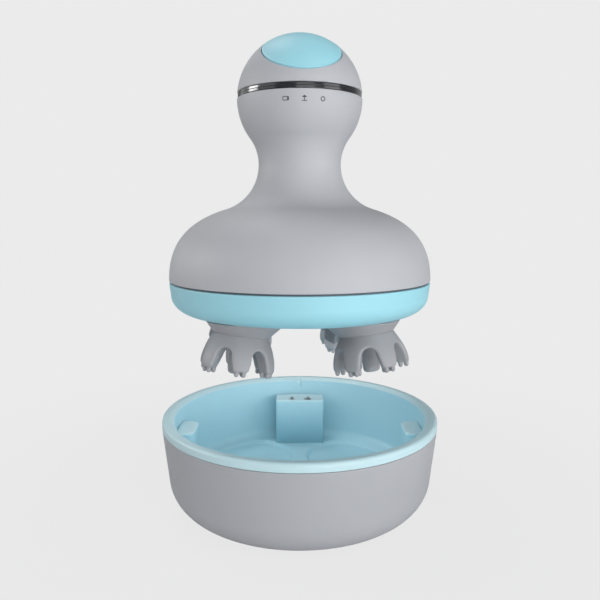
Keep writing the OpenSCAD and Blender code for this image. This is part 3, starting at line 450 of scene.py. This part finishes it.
def make_housing():
    outer = housing_outline(0, BAND_LOW - BAND_GAP, 48)
    inner = housing_outline(WALL, BAND_LOW - BAND_GAP, 12)
    foot_r, top_r = outer[0][0], outer[-1][0]
    outer = [p for p in outer if p[1] > SEAM_HALF + EDGE and p[1] < BAND_LOW - BAND_GAP - EDGE]
    foot = rounded([(foot_r - WALL, SEAM_HALF, 0), (foot_r, SEAM_HALF, EDGE),
                    (*outer[0], 0)], closed=False)[:-1]
    top = rounded([(*outer[-1], 0), (top_r, BAND_LOW - BAND_GAP, EDGE * 0.7),
                   (top_r - WALL, BAND_LOW - BAND_GAP, 0)], closed=False)[1:-1]
    profile = foot[1:] + outer + top + inner[::-1]
    lathe("housing", supported(profile), massager_frame, "massager",
          replaces=["body_shell"], slot="housing", material=mat_housing)


def make_crown():
    """The upper part of the ball grip, with a round opening on the button's leaning axis."""
    columns = 240
    tilt = grip_frame.to_3x3().inverted() @ button_axis
    axis = np.array(tilt)
    side = np.array((1.0, 0, 0))
    front = np.cross(axis, side)
    hole_r = BUTTON_R + BUTTON_GAP
    low_z = BAND_HIGH + BAND_GAP - GRIP_Z
    edge_start = math.asin((hole_r + EDGE) / GRIP_R)
    rim = arc((hole_r + EDGE, math.cos(edge_start) * GRIP_R - EDGE), EDGE, 90, 180, 4)
    wall_low = 18.0
    rows = 56
    points = []
    for a in np.linspace(0, 2 * math.pi, columns, endpoint=False):
        out = math.cos(a) * side + math.sin(a) * front
        reach = math.hypot(axis[2], out[2])
        end = math.atan2(out[2], axis[2]) + math.acos((low_z + EDGE) / GRIP_R / reach)
        column = [axis * wall_low + out * (hole_r + BUTTON_LIP), axis * wall_low + out * hole_r,
                  axis * (rim[-1][1] - 0.3) + out * hole_r]
        column += [axis * z + out * r for r, z in rim[::-1]]
        for s in np.linspace(edge_start, end, rows)[1:]:
            column.append(GRIP_R * (math.cos(s) * axis + math.sin(s) * out))
        lowest = column[-1]
        flat = np.array((lowest[0], lowest[1], 0)) / math.hypot(lowest[0], lowest[1])
        radius = math.hypot(lowest[0], lowest[1])
        for b in np.radians((30, 60, 90)):
            column.append(flat * (radius - EDGE * (1 - math.cos(b)))
                          + np.array((0, 0, low_z + EDGE * (1 - math.sin(b)))))
        for inset in (0.6, WALL):
            column.append(flat * (radius - inset) + np.array((0, 0, low_z)))
        inner_r = GRIP_R - WALL
        start = math.asin((hole_r + BUTTON_LIP) / inner_r)
        begin = math.atan2(out[2], axis[2]) + math.acos(low_z / inner_r / reach)
        for s in np.linspace(begin, start, 16)[1:]:
            column.append(inner_r * (math.cos(s) * axis + math.sin(s) * out))
        points.append(column)
    depth = len(points[0])
    flat_points = [points[j][i] for i in range(depth) for j in range(columns)]
    add_mesh("crown", flat_points, grid_faces(depth, columns, True), grip_frame, "massager",
             replaces=["crown_shell"], slot="housing", material=mat_housing)


def make_button():
    edge_r = BUTTON_R
    edge_a = math.degrees(math.asin((edge_r - EDGE) / GRIP_R))
    dome = arc((0, 0), GRIP_R, 90, 90 - edge_a, 40)
    under = arc((0, 0), GRIP_R - WALL, 90 - BUTTON_INSIDE, 90, 12)
    edge = arc((edge_r - EDGE, dome[-1][1] - EDGE), EDGE, 75, 0, 4)
    skirt = [(edge_r, FLANGE_TOP), (edge_r + FLANGE_W, FLANGE_TOP), (edge_r + FLANGE_W, SKIRT_LOW),
             (edge_r - SKIRT_T, SKIRT_LOW), (edge_r - SKIRT_T, SKIRT_TOP)]
    profile = dome + edge + skirt + under
    lathe("button", supported(profile, closed=False), button_frame, "button", closed=False,
          replaces=["power_button"], slot="button", material=mat_blue)


def make_band():
    outer = GRIP_R - BAND_SINK
    groove_z = BAND_LOW + GROOVE_UP
    corners = [(outer - BAND_T, BAND_LOW, 0), (outer, BAND_LOW, 0.25),
               (outer + BAND_PROUD, groove_z - GROOVE_HALF, 0.1), (outer - GROOVE_D, groove_z, 0),
               (outer + BAND_PROUD, groove_z + GROOVE_HALF, 0.1),
               (outer, BAND_HIGH, 0.25), (outer - BAND_T, BAND_HIGH, 0)]
    lathe("trim_ring", supported(rounded(corners), 0.12), massager_frame, "massager",
          replaces=["trim_band"], slot="trim", material=mat_band)


def make_gasket():
    low, high = -SEAM_HALF, SEAM_HALF
    corners = [(BODY_R - 2.2, low, 0), (BODY_R - 0.9, low, 0.1), (BODY_R - 0.9, high, 0.1),
               (BODY_R - 2.2, high, 0)]
    lathe("seam_seal", rounded(corners), massager_frame, "massager",
          replaces=["seam_gasket"], slot="trim", material=mat_gasket)


def make_lower_ring():
    corner_z = RING_ROUND_H - RING_H
    oval_w = BODY_R - RING_DRAFT - RING_FOOT_R
    top = rounded([(BODY_R - WALL, -SEAM_HALF, 0), (BODY_R, -SEAM_HALF, 0.55),
                   (BODY_R - RING_DRAFT, corner_z, 0)], closed=False)
    outer = arc((RING_FOOT_R, corner_z), (oval_w, RING_ROUND_H), 0, -87, 40)
    foot = rounded([(*outer[-1], 0), (RING_FOOT_R, -RING_H, 0.2), (RING_FOOT_R, PLATE_SEAT_LOW, 0)],
                   closed=False)[1:]
    inner = arc((RING_FOOT_R, corner_z), (oval_w - WALL, RING_ROUND_H - WALL), -60, 0, 10)
    seat = [(PLATE_SEAT_R, PLATE_SEAT_LOW), (PLATE_SEAT_R, PLATE_SEAT_HIGH)]
    profile = top[:-1] + outer + foot + seat + inner
    lathe("blue_ring", supported(profile), massager_frame, "massager",
          replaces=["lower_ring"], slot="ring", material=mat_blue)


# ---------------------------------------------------------------- Status icons
def box_outline(x0, y0, x1, y1, radius=0.12):
    return rounded([(x0, y0, radius), (x1, y0, radius), (x1, y1, radius), (x0, y1, radius)], steps=3)


def ring_outline(radius):
    return arc((0, 0), radius, 0, 350, 35)


BATTERY = [(box_outline(-1.3, -0.85, 1.0, 0.85, 0.3), box_outline(-1.0, -0.55, 0.7, 0.55, 0.15)),
           (box_outline(0.72, -0.75, 1.45, 0.75), None)]
SPEED = [([(-1.1, 0.35), (1.1, 0.35), (0.35, 1.1), (0, 1.25), (-0.35, 1.1)], None),
         (box_outline(-0.17, -0.75, 0.17, 0.4, 0.05), None),
         (box_outline(-1.1, -1.05, 1.1, -0.72), None)]
CHARGE = [(ring_outline(1.05), ring_outline(0.66))]


def add_icon(name, azimuth, shapes):
    """Thin print wrapped onto the ball grip, from outlines that may have a hole."""
    level, sink, proud = -4.1, 0.06, 0.025
    points, faces = [], []
    for outer, inner in shapes:
        count = len(outer)
        first = len(points)
        for r in (GRIP_R - sink, GRIP_R + proud):
            for outline in (outer, inner) if inner else (outer,):
                for x, y in outline:
                    flat = math.sqrt(r * r - (level + y) ** 2)
                    a = azimuth + x / GRIP_R
                    points.append((flat * math.sin(a), -flat * math.cos(a), level + y))
        if inner:
            for start in (first, first + 2 * count):
                faces += [tuple(start + k for k in face) for face in grid_faces(2, count)]
            pairs = ((0, 2), (1, 3))
        else:
            faces += [tuple(range(first, first + count)), tuple(range(first + count, len(points)))]
            pairs = ((0, 1),)
        for low, high in pairs:
            for j in range(count):
                k = (j + 1) % count
                faces.append((first + low * count + j, first + low * count + k,
                              first + high * count + k, first + high * count + j))
    icon = add_mesh(name, points, faces, grip_frame, "massager", slot="trim", material=mat_print)
    icon.data.polygons.foreach_set("use_smooth", [False] * len(icon.data.polygons))


def make_icons():
    spacing = math.radians(16)
    for name, step, shapes in (("battery_icon", -1, BATTERY), ("speed_icon", 0, SPEED),
                               ("charge_icon", 1, CHARGE)):
        add_icon(name, step * spacing, shapes)


# ---------------------------------------------------------------- Claw heads
def smooth_max(a, b, k):
    h = np.clip(0.5 + 0.5 * (a - b) / k, 0, 1)
    return b + (a - b) * h + k * h * (1 - h)


def smooth_min(a, b, k):
    return -smooth_max(-a, -b, k)


def claw_field(x, y, z):
    """Distance-like field of a claw head, negative inside. Its axis is Z, and its palm is up."""
    depth = PALM_Z - z
    r = np.hypot(x, y)
    rise = np.clip(depth / BELL_H, 0, 1) * math.pi / 2
    slope = (HEAD_R - PALM_R) * np.cos(rise) * math.pi / 2 / BELL_H
    bell = (r - PALM_R - (HEAD_R - PALM_R) * np.sin(rise)) / np.hypot(1, slope)
    bell += (HEAD_R - TIP_R) * np.clip((depth - BELL_H) / (HEAD_H - BELL_H), 0, 1)
    solid = smooth_max(bell, -depth, PALM_BLEND)
    below = (depth - PALM_T) / (HEAD_H - PALM_T)
    cavity = smooth_max(r - CAVITY_R - CAVITY_FLARE * below, PALM_T - depth, CAVITY_TOP_BLEND)
    solid = smooth_max(solid, -cavity, CAVITY_BLEND)
    # The gaps widen outwards and towards the tips, and end in round arches
    pitch = 2 * math.pi / FINGERS
    off_finger = np.abs((np.arctan2(y, x) + pitch / 2) % pitch - pitch / 2)
    across = r * np.sin(pitch / 2 - off_finger) / (0.45 + 0.55 * r / TIP_R)
    grow = np.clip((depth - ARCH_D) / (HEAD_H - ARCH_D), 0, 1.4)
    arch = np.hypot(across, np.minimum(depth - ARCH_D, 0))
    arch -= ARCH_TOP_W + (ARCH_FOOT_W - ARCH_TOP_W) * grow
    solid = smooth_max(solid, -arch, ARCH_BLEND)
    solid = smooth_max(solid, depth - HEAD_H, TIP_BLEND)
    post = np.hypot(np.maximum(r - POST_R + POST_ROUND, 0),
                    np.maximum(depth - HEAD_H - POST_DROP + POST_ROUND, 0)) - POST_ROUND
    solid = smooth_min(solid, np.maximum(post, 1 - depth), POST_BLEND)
    for i in range(FINGERS):
        ca, sa = math.cos(pitch * i), math.sin(pitch * i)
        for out, side in NUB_SPOTS:
            low = np.maximum(depth - (HEAD_H + NUB_H - NUB_R), 0)
            high = np.maximum(HEAD_H - 1.5 - depth, 0)
            dx, dy = x - out * ca + side * sa, y - out * sa - side * ca
            nub = np.sqrt(dx * dx + dy * dy + low * low + high * high) - NUB_R
            solid = smooth_min(solid, nub, NUB_BLEND)
    return solid


def surface_nets(field, origin, step):
    """Quads along the zero level of a field sampled on a grid."""
    nx, ny, nz = field.shape
    cells = (nx - 1, ny - 1, nz - 1)
    total = np.zeros(cells + (3,))
    count = np.zeros(cells)
    crossings = []
    for axis in range(3):
        first = [slice(None)] * 3
        second = [slice(None)] * 3
        first[axis], second[axis] = slice(0, -1), slice(1, None)
        a, b = field[tuple(first)], field[tuple(second)]
        cross = (a < 0) != (b < 0)
        t = np.where(cross, a / np.where(a == b, 1, a - b), 0)
        index = np.stack(np.meshgrid(*[np.arange(n) for n in a.shape], indexing="ij"), -1).astype(float)
        index[..., axis] += t
        others = [k for k in range(3) if k != axis]
        for du in (0, 1):
            for dv in (0, 1):
                cell = [slice(None)] * 3
                edge = [slice(None)] * 3
                for k, d in zip(others, (du, dv)):
                    size = a.shape[k]
                    cell[k] = slice(0, size - 1)
                    edge[k] = slice(d, size - 1 + d)
                hit = cross[tuple(edge)]
                total[tuple(cell)] += index[tuple(edge)] * hit[..., None]
                count[tuple(cell)] += hit
        crossings.append((axis, others, cross, a < 0))
    used = count > 0
    number = np.full(cells, -1)
    number[used] = np.arange(used.sum())
    points = total[used] / count[used][:, None] * step + np.array(origin)
    faces = []
    for axis, (u, v), cross, inside in crossings:
        where = np.argwhere(cross)
        keep = (where[:, u] > 0) & (where[:, v] > 0)
        keep &= (where[:, u] < cells[u]) & (where[:, v] < cells[v])
        where = where[keep]
        quad = []
        for du, dv in ((1, 1), (0, 1), (0, 0), (1, 0)):
            cell = where.copy()
            cell[:, u] -= du
            cell[:, v] -= dv
            quad.append(number[cell[:, 0], cell[:, 1], cell[:, 2]])
        quad = np.stack(quad, 1)
        flip = inside[where[:, 0], where[:, 1], where[:, 2]] == (axis == 1)
        quad[flip] = quad[flip][:, ::-1]
        faces += quad.tolist()
    return points, faces


def make_claws():
    step = 0.38
    reach = HEAD_R + 1.5
    low_z, high_z = PALM_Z - HEAD_H - POST_DROP - 1.5, PALM_Z + 1.5
    xs = np.arange(-reach, reach + step, step)
    zs = np.arange(low_z, high_z + step, step)
    x, y, z = np.meshgrid(xs, xs, zs, indexing="ij")
    points, faces = surface_nets(claw_field(x, y, z), (-reach, -reach, low_z), step)
    for n, (place, phase) in enumerate(zip(head_frames, FINGER_PHASES), 1):
        add_mesh(f"claw_{n}", points, faces, place @ turn_z(phase), f"claw_{n}",
                 replaces=[f"claw_head_{n}"], slot="silicone", material=mat_silicone)


def make_collars():
    """Leaning cones that run out flat against the bottom plate."""
    columns = 128
    for n, place in enumerate(head_frames, 1):
        up = place.to_3x3().inverted() @ Vector((0, 0, 1))
        grow = math.tan(COLLAR_FLARE)
        points = []
        for a in np.linspace(0, 2 * math.pi, columns, endpoint=False):
            ca, sa = math.cos(a), math.sin(a)
            slope = up.x * ca + up.y * sa
            low = [(COLLAR_BORE_R, COLLAR_BORE_TOP), (COLLAR_BORE_R, -COLLAR_H),
                   (COLLAR_LIP_R, -COLLAR_H), (COLLAR_R - 2 * COLLAR_EDGE, -COLLAR_H)]
            low += arc((COLLAR_R - COLLAR_EDGE, -COLLAR_H + COLLAR_EDGE), COLLAR_EDGE, -80, -42, 3)
            column = [(r * ca, r * sa, z) for r, z in low]
            r0, z0 = low[-1]
            run = -(r0 * slope + z0 * up.z) / (grow * slope + up.z)
            for t in np.linspace(0, 1, 9)[1:]:
                r, z = r0 + grow * run * t, z0 + run * t
                column.append((r * ca, r * sa, z))
            top = -(COLLAR_LIP_R * slope) / up.z
            column.append((COLLAR_LIP_R * ca, COLLAR_LIP_R * sa, top))
            points.append(column)
        depth = len(points[0])
        flat_points = [points[j][i] for i in range(depth) for j in range(columns)]
        add_mesh(f"collar_{n}", flat_points, grid_faces(depth, columns, True), place, "massager",
                 replaces=[f"head_collar_{n}"], slot="silicone", material=mat_silicone)


# ---------------------------------------------------------------- Dock
def make_bowl():
    centre = (BOWL_LOW_R - BOWL_CURVE_R, BOWL_FOOT_Z + BOWL_CURVE_R)
    lean = math.degrees(math.atan2(BOWL_TOP_R - BOWL_LOW_R, BOWL_H - centre[1]))
    outer = arc(centre, BOWL_CURVE_R, -90, -lean, 36)
    inner = arc(centre, BOWL_CURVE_R - BOWL_WALL, -lean, -90, 12)
    top = rounded([(*outer[-1], 0), (BOWL_TOP_R, BOWL_H, 0.3), (BOWL_TOP_R - BOWL_WALL, BOWL_H, 0.2),
                   (*inner[0], 0)], closed=False)
    profile = [(0, BOWL_FOOT_Z), (BOWL_HUB_R, BOWL_FOOT_Z)] + outer + top[1:-1] + inner
    profile += [(BOWL_HUB_R, inner[-1][1]), (0, inner[-1][1])]
    lathe("bowl", supported(profile, closed=False), world_frame, "dock", closed=False,
          replaces=["dock_bowl"], slot="dock_shell", material=mat_bowl)


def make_liner():
    """Rim, wall and floor in one sheet. The floor sinks softly into four round cups, and a small
    notch is cut in the rim at the back."""
    fine = np.radians(np.linspace(87, 93, 25))
    coarse = np.radians(np.arange(0, 360, 1.25))
    away = (coarse < fine[0] - 0.01) | (coarse > fine[-1] + 0.01)
    angles = np.sort(np.round(np.concatenate((coarse[away], fine)), 6))
    columns = len(angles)
    curve = (LINER_LOW_R - FLOOR_CURVE_R, FLOOR_Z + FLOOR_CURVE_R)
    wall_top = (LINER_TOP_R, RIM_TOP_Z - BEVEL_H)
    outer_z = BOWL_H + 0.2
    upper = rounded([(*curve, 0), (*wall_top, 0.6), (LINER_TOP_R + BEVEL_W, RIM_TOP_Z, 0.7),
                     (BOWL_TOP_R, RIM_TOP_Z, RIM_ROUND), (BOWL_TOP_R, outer_z, 0.25),
                     (BOWL_TOP_R - 3, outer_z, 0), (curve[0] + FLOOR_CURVE_R + LINER_T, curve[1], 0)],
                    steps=7, closed=False)[1:]
    floor = [(r, FLOOR_Z) for r in np.linspace(0.5, curve[0], 84)]
    bend = arc(curve, FLOOR_CURVE_R, -90, 0, 10)[1:]
    wall = [(LINER_LOW_R + (LINER_TOP_R - LINER_LOW_R) * t, curve[1] + (wall_top[1] - curve[1]) * t)
            for t in np.linspace(0.02, 0.96, 24)]
    back = arc(curve, FLOOR_CURVE_R + LINER_T, 0, -90, 8)[1:] + [(0.5, FLOOR_Z - LINER_T)]
    profile = floor + bend + wall + upper + back
    centres = [(CUP_RING_R * math.cos(a), CUP_RING_R * math.sin(a)) for a in HEAD_AZIMUTHS]
    limit = curve[0] + 0.2
    points = []
    for i, (r, z) in enumerate(profile):
        for a in angles:
            x, y = r * math.cos(a), r * math.sin(a)
            sunk = 0
            if i < len(floor):
                nearest = min(math.hypot(x - cx, y - cy) for cx, cy in centres)
                edge = float(np.clip(min(CUP_R - nearest, limit - r) / CUP_EDGE_W + CUP_EDGE_SHIFT, 0, 1))
                sunk = CUP_DEPTH * edge * edge * (3 - 2 * edge)
            notch = 0
            if z > RIM_TOP_Z - NOTCH_H and i >= len(floor) and r < LINER_TOP_R + BEVEL_W + 0.6:
                off = abs(a - math.pi / 2) * r
                notch = NOTCH_D * max(0, 1 - max(0, off - NOTCH_HALF) / NOTCH_FADE)
            r_here = r + notch
            points.append((r_here * math.cos(a), r_here * math.sin(a), z - sunk))
    faces = grid_faces(len(profile), columns)
    for ring, z in ((0, FLOOR_Z), ((len(profile) - 1) * columns, FLOOR_Z - LINER_T)):
        points.append((0, 0, z))
        tip = len(points) - 1
        faces += [(tip, ring + j, ring + (j + 1) % columns) for j in range(columns)]
    liner = add_mesh("liner", points, faces, world_frame, "dock", replaces=["dock_liner"],
                     slot="dock_lining", material=mat_liner)
    # The rim's faces get the paler blue, as painted light from above on the rim.
    liner.data.materials.append(mat_painted_top_light)
    for face in liner.data.polygons:
        inner_side = face.center.xy.length < LINER_TOP_R * MM
        if face.center.z > (RIM_TOP_Z - BEVEL_H - 0.3 if inner_side else BOWL_H) * MM:
            face.material_index = 1


def paint_top_light(piece):
    """Paints the upward faces of a piece of the lining in the rim's paler blue, as painted light from above.
    """
    piece.data.materials.append(mat_painted_top_light)
    for face in piece.data.polygons:
        if face.normal.z > 0.5 and face.center.z > (LEDGE_Z - 1) * MM:
            face.material_index = 1


def make_tabs():
    """Two ledges on the liner's wall that carry the massager's lower ring."""
    for name, side in (("tab_left", 180), ("tab_right", 0)):
        back = LINER_LOW_R + TAB_SINK
        outline = rounded([(TAB_X, -TAB_HALF, TAB_CORNER_R), (back, -TAB_HALF, 0),
                           (back, TAB_HALF, 0), (TAB_X, TAB_HALF, TAB_CORNER_R)], steps=8)
        tab = prism(name, outline, edge_levels(FLOOR_Z + 0.2, LEDGE_Z, TAB_EDGE),
                    turn_z(math.radians(side)), "dock", slot="dock_lining", material=mat_liner)
        # The tab's upward faces get painted light from above in the paler blue.
        paint_top_light(tab)


def make_block():
    side_back = BLOCK_BACK - BLOCK_SIDE_CUT
    outline = rounded([(-BLOCK_HALF, BLOCK_FRONT, BLOCK_CORNER_R), (BLOCK_HALF, BLOCK_FRONT, BLOCK_CORNER_R),
                       (BLOCK_HALF, side_back, 0), (0, BLOCK_BACK, 0), (-BLOCK_HALF, side_back, 0)], steps=6)
    block = prism("charging_block", outline, edge_levels(FLOOR_Z, LEDGE_Z, BLOCK_EDGE), world_frame,
                  "dock", replaces=["contact_block"], slot="dock_lining", material=mat_liner)
    # The block's upward faces get painted light from above in the paler blue.
    paint_top_light(block)


def make_pins():
    for side, x in (("left", -PIN_X), ("right", PIN_X)):
        low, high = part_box(f"contact_pin_{side}")
        r = (high.x - low.x) / 2 / MM
        top, bottom = high.z / MM, low.z / MM
        profile = [(0, bottom), (r, bottom), (r, top - r)]
        profile += arc((0, top - r), r, 0, 90, 8)[1:]
        place = Matrix.Translation((x, (low.y + high.y) / 2 / MM, 0))
        lathe(f"pin_{side}", supported(profile, 0.08, closed=False), place, f"pin_{side}",
              closed=False, segments=32, replaces=[f"contact_pin_{side}"], slot="contact",
              material=mat_pin)


# ---------------------------------------------------------------- Carried-over nodes
CAD_LOOKS = {
    mat_plate: ["bottom_plate"],
    mat_gold: ["contact_pads", "pin_barrels"],
    mat_steel: ["switch_stem", "drive_shaft", "gear_deck", "housing_screws", "deck_screws",
                "motor_screws", "motor_can", "charge_socket", "dock_screws", "pin_spring_left",
                "pin_spring_right", *[f"claw_spindle_{n}" for n in range(1, 5)]],
    mat_black: ["tact_switch", "switch_bracket", "battery_cradle", "reduction_gearbox"],
    mat_white: ["sun_gear", *[f"claw_gear_{n}" for n in range(1, 5)]],
    mat_light: ["light_guides"],
    mat_green: ["control_board", "indicator_board", "dock_board"],
    mat_cell: ["battery_cell"],
    mat_bronze: ["spindle_bushings"],
    mat_rubber: ["shaft_seals", "dock_feet"],
}


def dress_cad_nodes():
    for material, names in CAD_LOOKS.items():
        for name in names:
            node = frame["nodes"][name]
            node.data.materials.clear()
            node.data.materials.append(material)


# ---------------------------------------------------------------- Stage, lamps and camera
PAPER = srgb(235, 235, 235)
FLOOR_R = 9
GLOW_NEAR = (0.06, 0.92)
GLOW_FAR = (0.3, 1.0)
AMBIENT = 0.1
SHEEN = 0.4


def make_stage():
    """A pale floor that keeps the object's shadow but meets the background without a line."""
    material = bpy.data.materials.new("paper_floor")
    material.use_nodes = True
    nodes, links = material.node_tree.nodes, material.node_tree.links
    nodes.clear()
    output = nodes.new("ShaderNodeOutputMaterial")
    diffuse = nodes.new("ShaderNodeBsdfDiffuse")
    diffuse.inputs["Color"].default_value = PAPER
    glow = nodes.new("ShaderNodeEmission")
    glow.inputs["Color"].default_value = PAPER
    rays = nodes.new("ShaderNodeLightPath")
    place = nodes.new("ShaderNodeTexCoord")
    distance = nodes.new("ShaderNodeVectorMath")
    distance.operation = "LENGTH"
    fade = nodes.new("ShaderNodeMapRange")
    fade.interpolation_type = "SMOOTHSTEP"
    for socket, value in (("From Min", GLOW_NEAR[0]), ("From Max", GLOW_FAR[0]),
                          ("To Min", GLOW_NEAR[1]), ("To Max", GLOW_FAR[1])):
        fade.inputs[socket].default_value = value
    links.new(place.outputs["Object"], distance.inputs[0])
    links.new(distance.outputs["Value"], fade.inputs["Value"])
    share = nodes.new("ShaderNodeMath")
    share.operation = "MULTIPLY"
    links.new(fade.outputs["Result"], share.inputs[1])
    mix = nodes.new("ShaderNodeMixShader")
    links.new(rays.outputs["Is Camera Ray"], share.inputs[0])
    links.new(share.outputs["Value"], mix.inputs["Fac"])
    links.new(diffuse.outputs["BSDF"], mix.inputs[1])
    links.new(glow.outputs["Emission"], mix.inputs[2])
    links.new(mix.outputs["Shader"], output.inputs["Surface"])
    mesh = bpy.data.meshes.new("floor")
    angles = np.linspace(0, 2 * math.pi, 96, endpoint=False)
    rim = [(FLOOR_R * math.cos(a), FLOOR_R * math.sin(a), 0) for a in angles]
    mesh.from_pydata(rim, [], [tuple(range(len(rim)))])
    mesh.materials.append(material)
    floor = bpy.data.objects.new("floor", mesh)
    bpy.context.scene.collection.objects.link(floor)


def make_world():
    world = bpy.data.worlds.new("studio")
    bpy.context.scene.world = world
    world.use_nodes = True
    nodes, links = world.node_tree.nodes, world.node_tree.links
    nodes.clear()
    output = nodes.new("ShaderNodeOutputWorld")
    seen = nodes.new("ShaderNodeBackground")
    seen.inputs["Color"].default_value = PAPER
    ambient = nodes.new("ShaderNodeBackground")
    ambient.inputs["Color"].default_value = srgb(214, 218, 224)
    ambient.inputs["Strength"].default_value = AMBIENT
    mirrored = nodes.new("ShaderNodeBackground")
    mirrored.inputs["Color"].default_value = PAPER
    mirrored.inputs["Strength"].default_value = SHEEN
    rays = nodes.new("ShaderNodeLightPath")
    glossy = nodes.new("ShaderNodeMixShader")
    links.new(rays.outputs["Is Glossy Ray"], glossy.inputs["Fac"])
    links.new(ambient.outputs["Background"], glossy.inputs[1])
    links.new(mirrored.outputs["Background"], glossy.inputs[2])
    mix = nodes.new("ShaderNodeMixShader")
    links.new(rays.outputs["Is Camera Ray"], mix.inputs["Fac"])
    links.new(glossy.outputs["Shader"], mix.inputs[1])
    links.new(seen.outputs["Background"], mix.inputs[2])
    links.new(mix.outputs["Shader"], output.inputs["Surface"])


def add_lamp(name, place, aim, size, power):
    light = bpy.data.lights.new(name, "AREA")
    light.shape = "RECTANGLE"
    light.size, light.size_y = size
    light.energy = power
    lamp = bpy.data.objects.new(name, light)
    lamp.location = place
    lamp.rotation_euler = (Vector(aim) - Vector(place)).to_track_quat("-Z", "Y").to_euler()
    bpy.context.scene.collection.objects.link(lamp)
    return lamp


LAMPS = {
    # name: azimuth from the front towards the right, elevation, distance, width, height, power
    "key": (60, 8, 0.9, 0.5, 0.5, 2.5),
    "front": (10, 8, 0.9, 0.5, 0.5, 1.75),
    "front_low": (30, 0, 0.9, 0.3, 0.2, 1.8),
    "upper_right": (35, 45, 0.9, 0.5, 0.5, 1.25),
    "left": (-60, 25, 0.9, 0.5, 0.5, 1.0),
    "left_side": (-90, 25, 0.9, 0.4, 0.4, 0.75),
    "rear_left": (-120, 10, 0.9, 0.5, 0.5, 0.8),
    "rear_right": (140, 15, 0.9, 0.5, 0.5, 0.3),
    "rear_high": (-135, 67, 0.9, 0.3, 0.3, 1.7),
    "rear_middle": (-145, 40, 0.9, 0.3, 0.3, 0.5),
}


def make_lamps():
    middle = Vector((0, 0, 0.11))
    for name, (azimuth, elevation, distance, width, height, power) in LAMPS.items():
        a, e = math.radians(azimuth), math.radians(elevation)
        away = Vector((math.sin(a) * math.cos(e), -math.cos(a) * math.cos(e), math.sin(e)))
        add_lamp(name, middle + away * distance, middle, (width, height), power)
    # A soft fill for the well of the dock, below the claw heads. It is a disk, because a square's
    # corners would reach out of the housing when the massager is docked.
    fill = add_lamp("dock_fill", (0, -0.012, 0.063), (0, 0.012, 0), (0.1, 0.1), 0.018)
    fill.data.shape = "DISK"
    fill.visible_camera = False
    fill.visible_glossy = False
    # A softbox that is seen only as a reflection, above all in the glossy trim band
    strip = add_lamp("band_strip", middle + Vector((-0.86, 0.03, 0.26)), middle, (0.34, 0.16), 3.0)
    strip.visible_camera = False
    strip.visible_diffuse = False


CAMERA_BACK = 294.0
CAMERA_ABOVE_SEAM = 30.8
CAMERA_PITCH = math.radians(7.92)
FOCAL_PIXELS = 618.0
IMAGE_SIZE = 600.0
CENTRE_PIXEL_X = 299.7


def make_camera():
    camera = bpy.data.cameras.new("camera")
    camera.sensor_width = 36
    camera.lens = FOCAL_PIXELS / IMAGE_SIZE * camera.sensor_width
    camera.shift_x = (IMAGE_SIZE / 2 - CENTRE_PIXEL_X) / IMAGE_SIZE
    camera.clip_start = 0.01
    holder = bpy.data.objects.new("camera", camera)
    holder.location = (0, -CAMERA_BACK * MM, (SEAM_Z + CAMERA_ABOVE_SEAM) * MM)
    holder.rotation_euler = (math.pi / 2 - CAMERA_PITCH, 0, 0)
    bpy.context.scene.collection.objects.link(holder)
    bpy.context.scene.camera = holder


make_housing()
make_crown()
make_button()
make_band()
make_gasket()
make_lower_ring()
make_icons()
make_claws()
make_collars()
make_bowl()
make_liner()
make_tabs()
make_block()
make_pins()
dress_cad_nodes()
make_stage()
make_world()
make_lamps()
make_camera()
bpy.context.scene.view_settings.view_transform = "Standard"
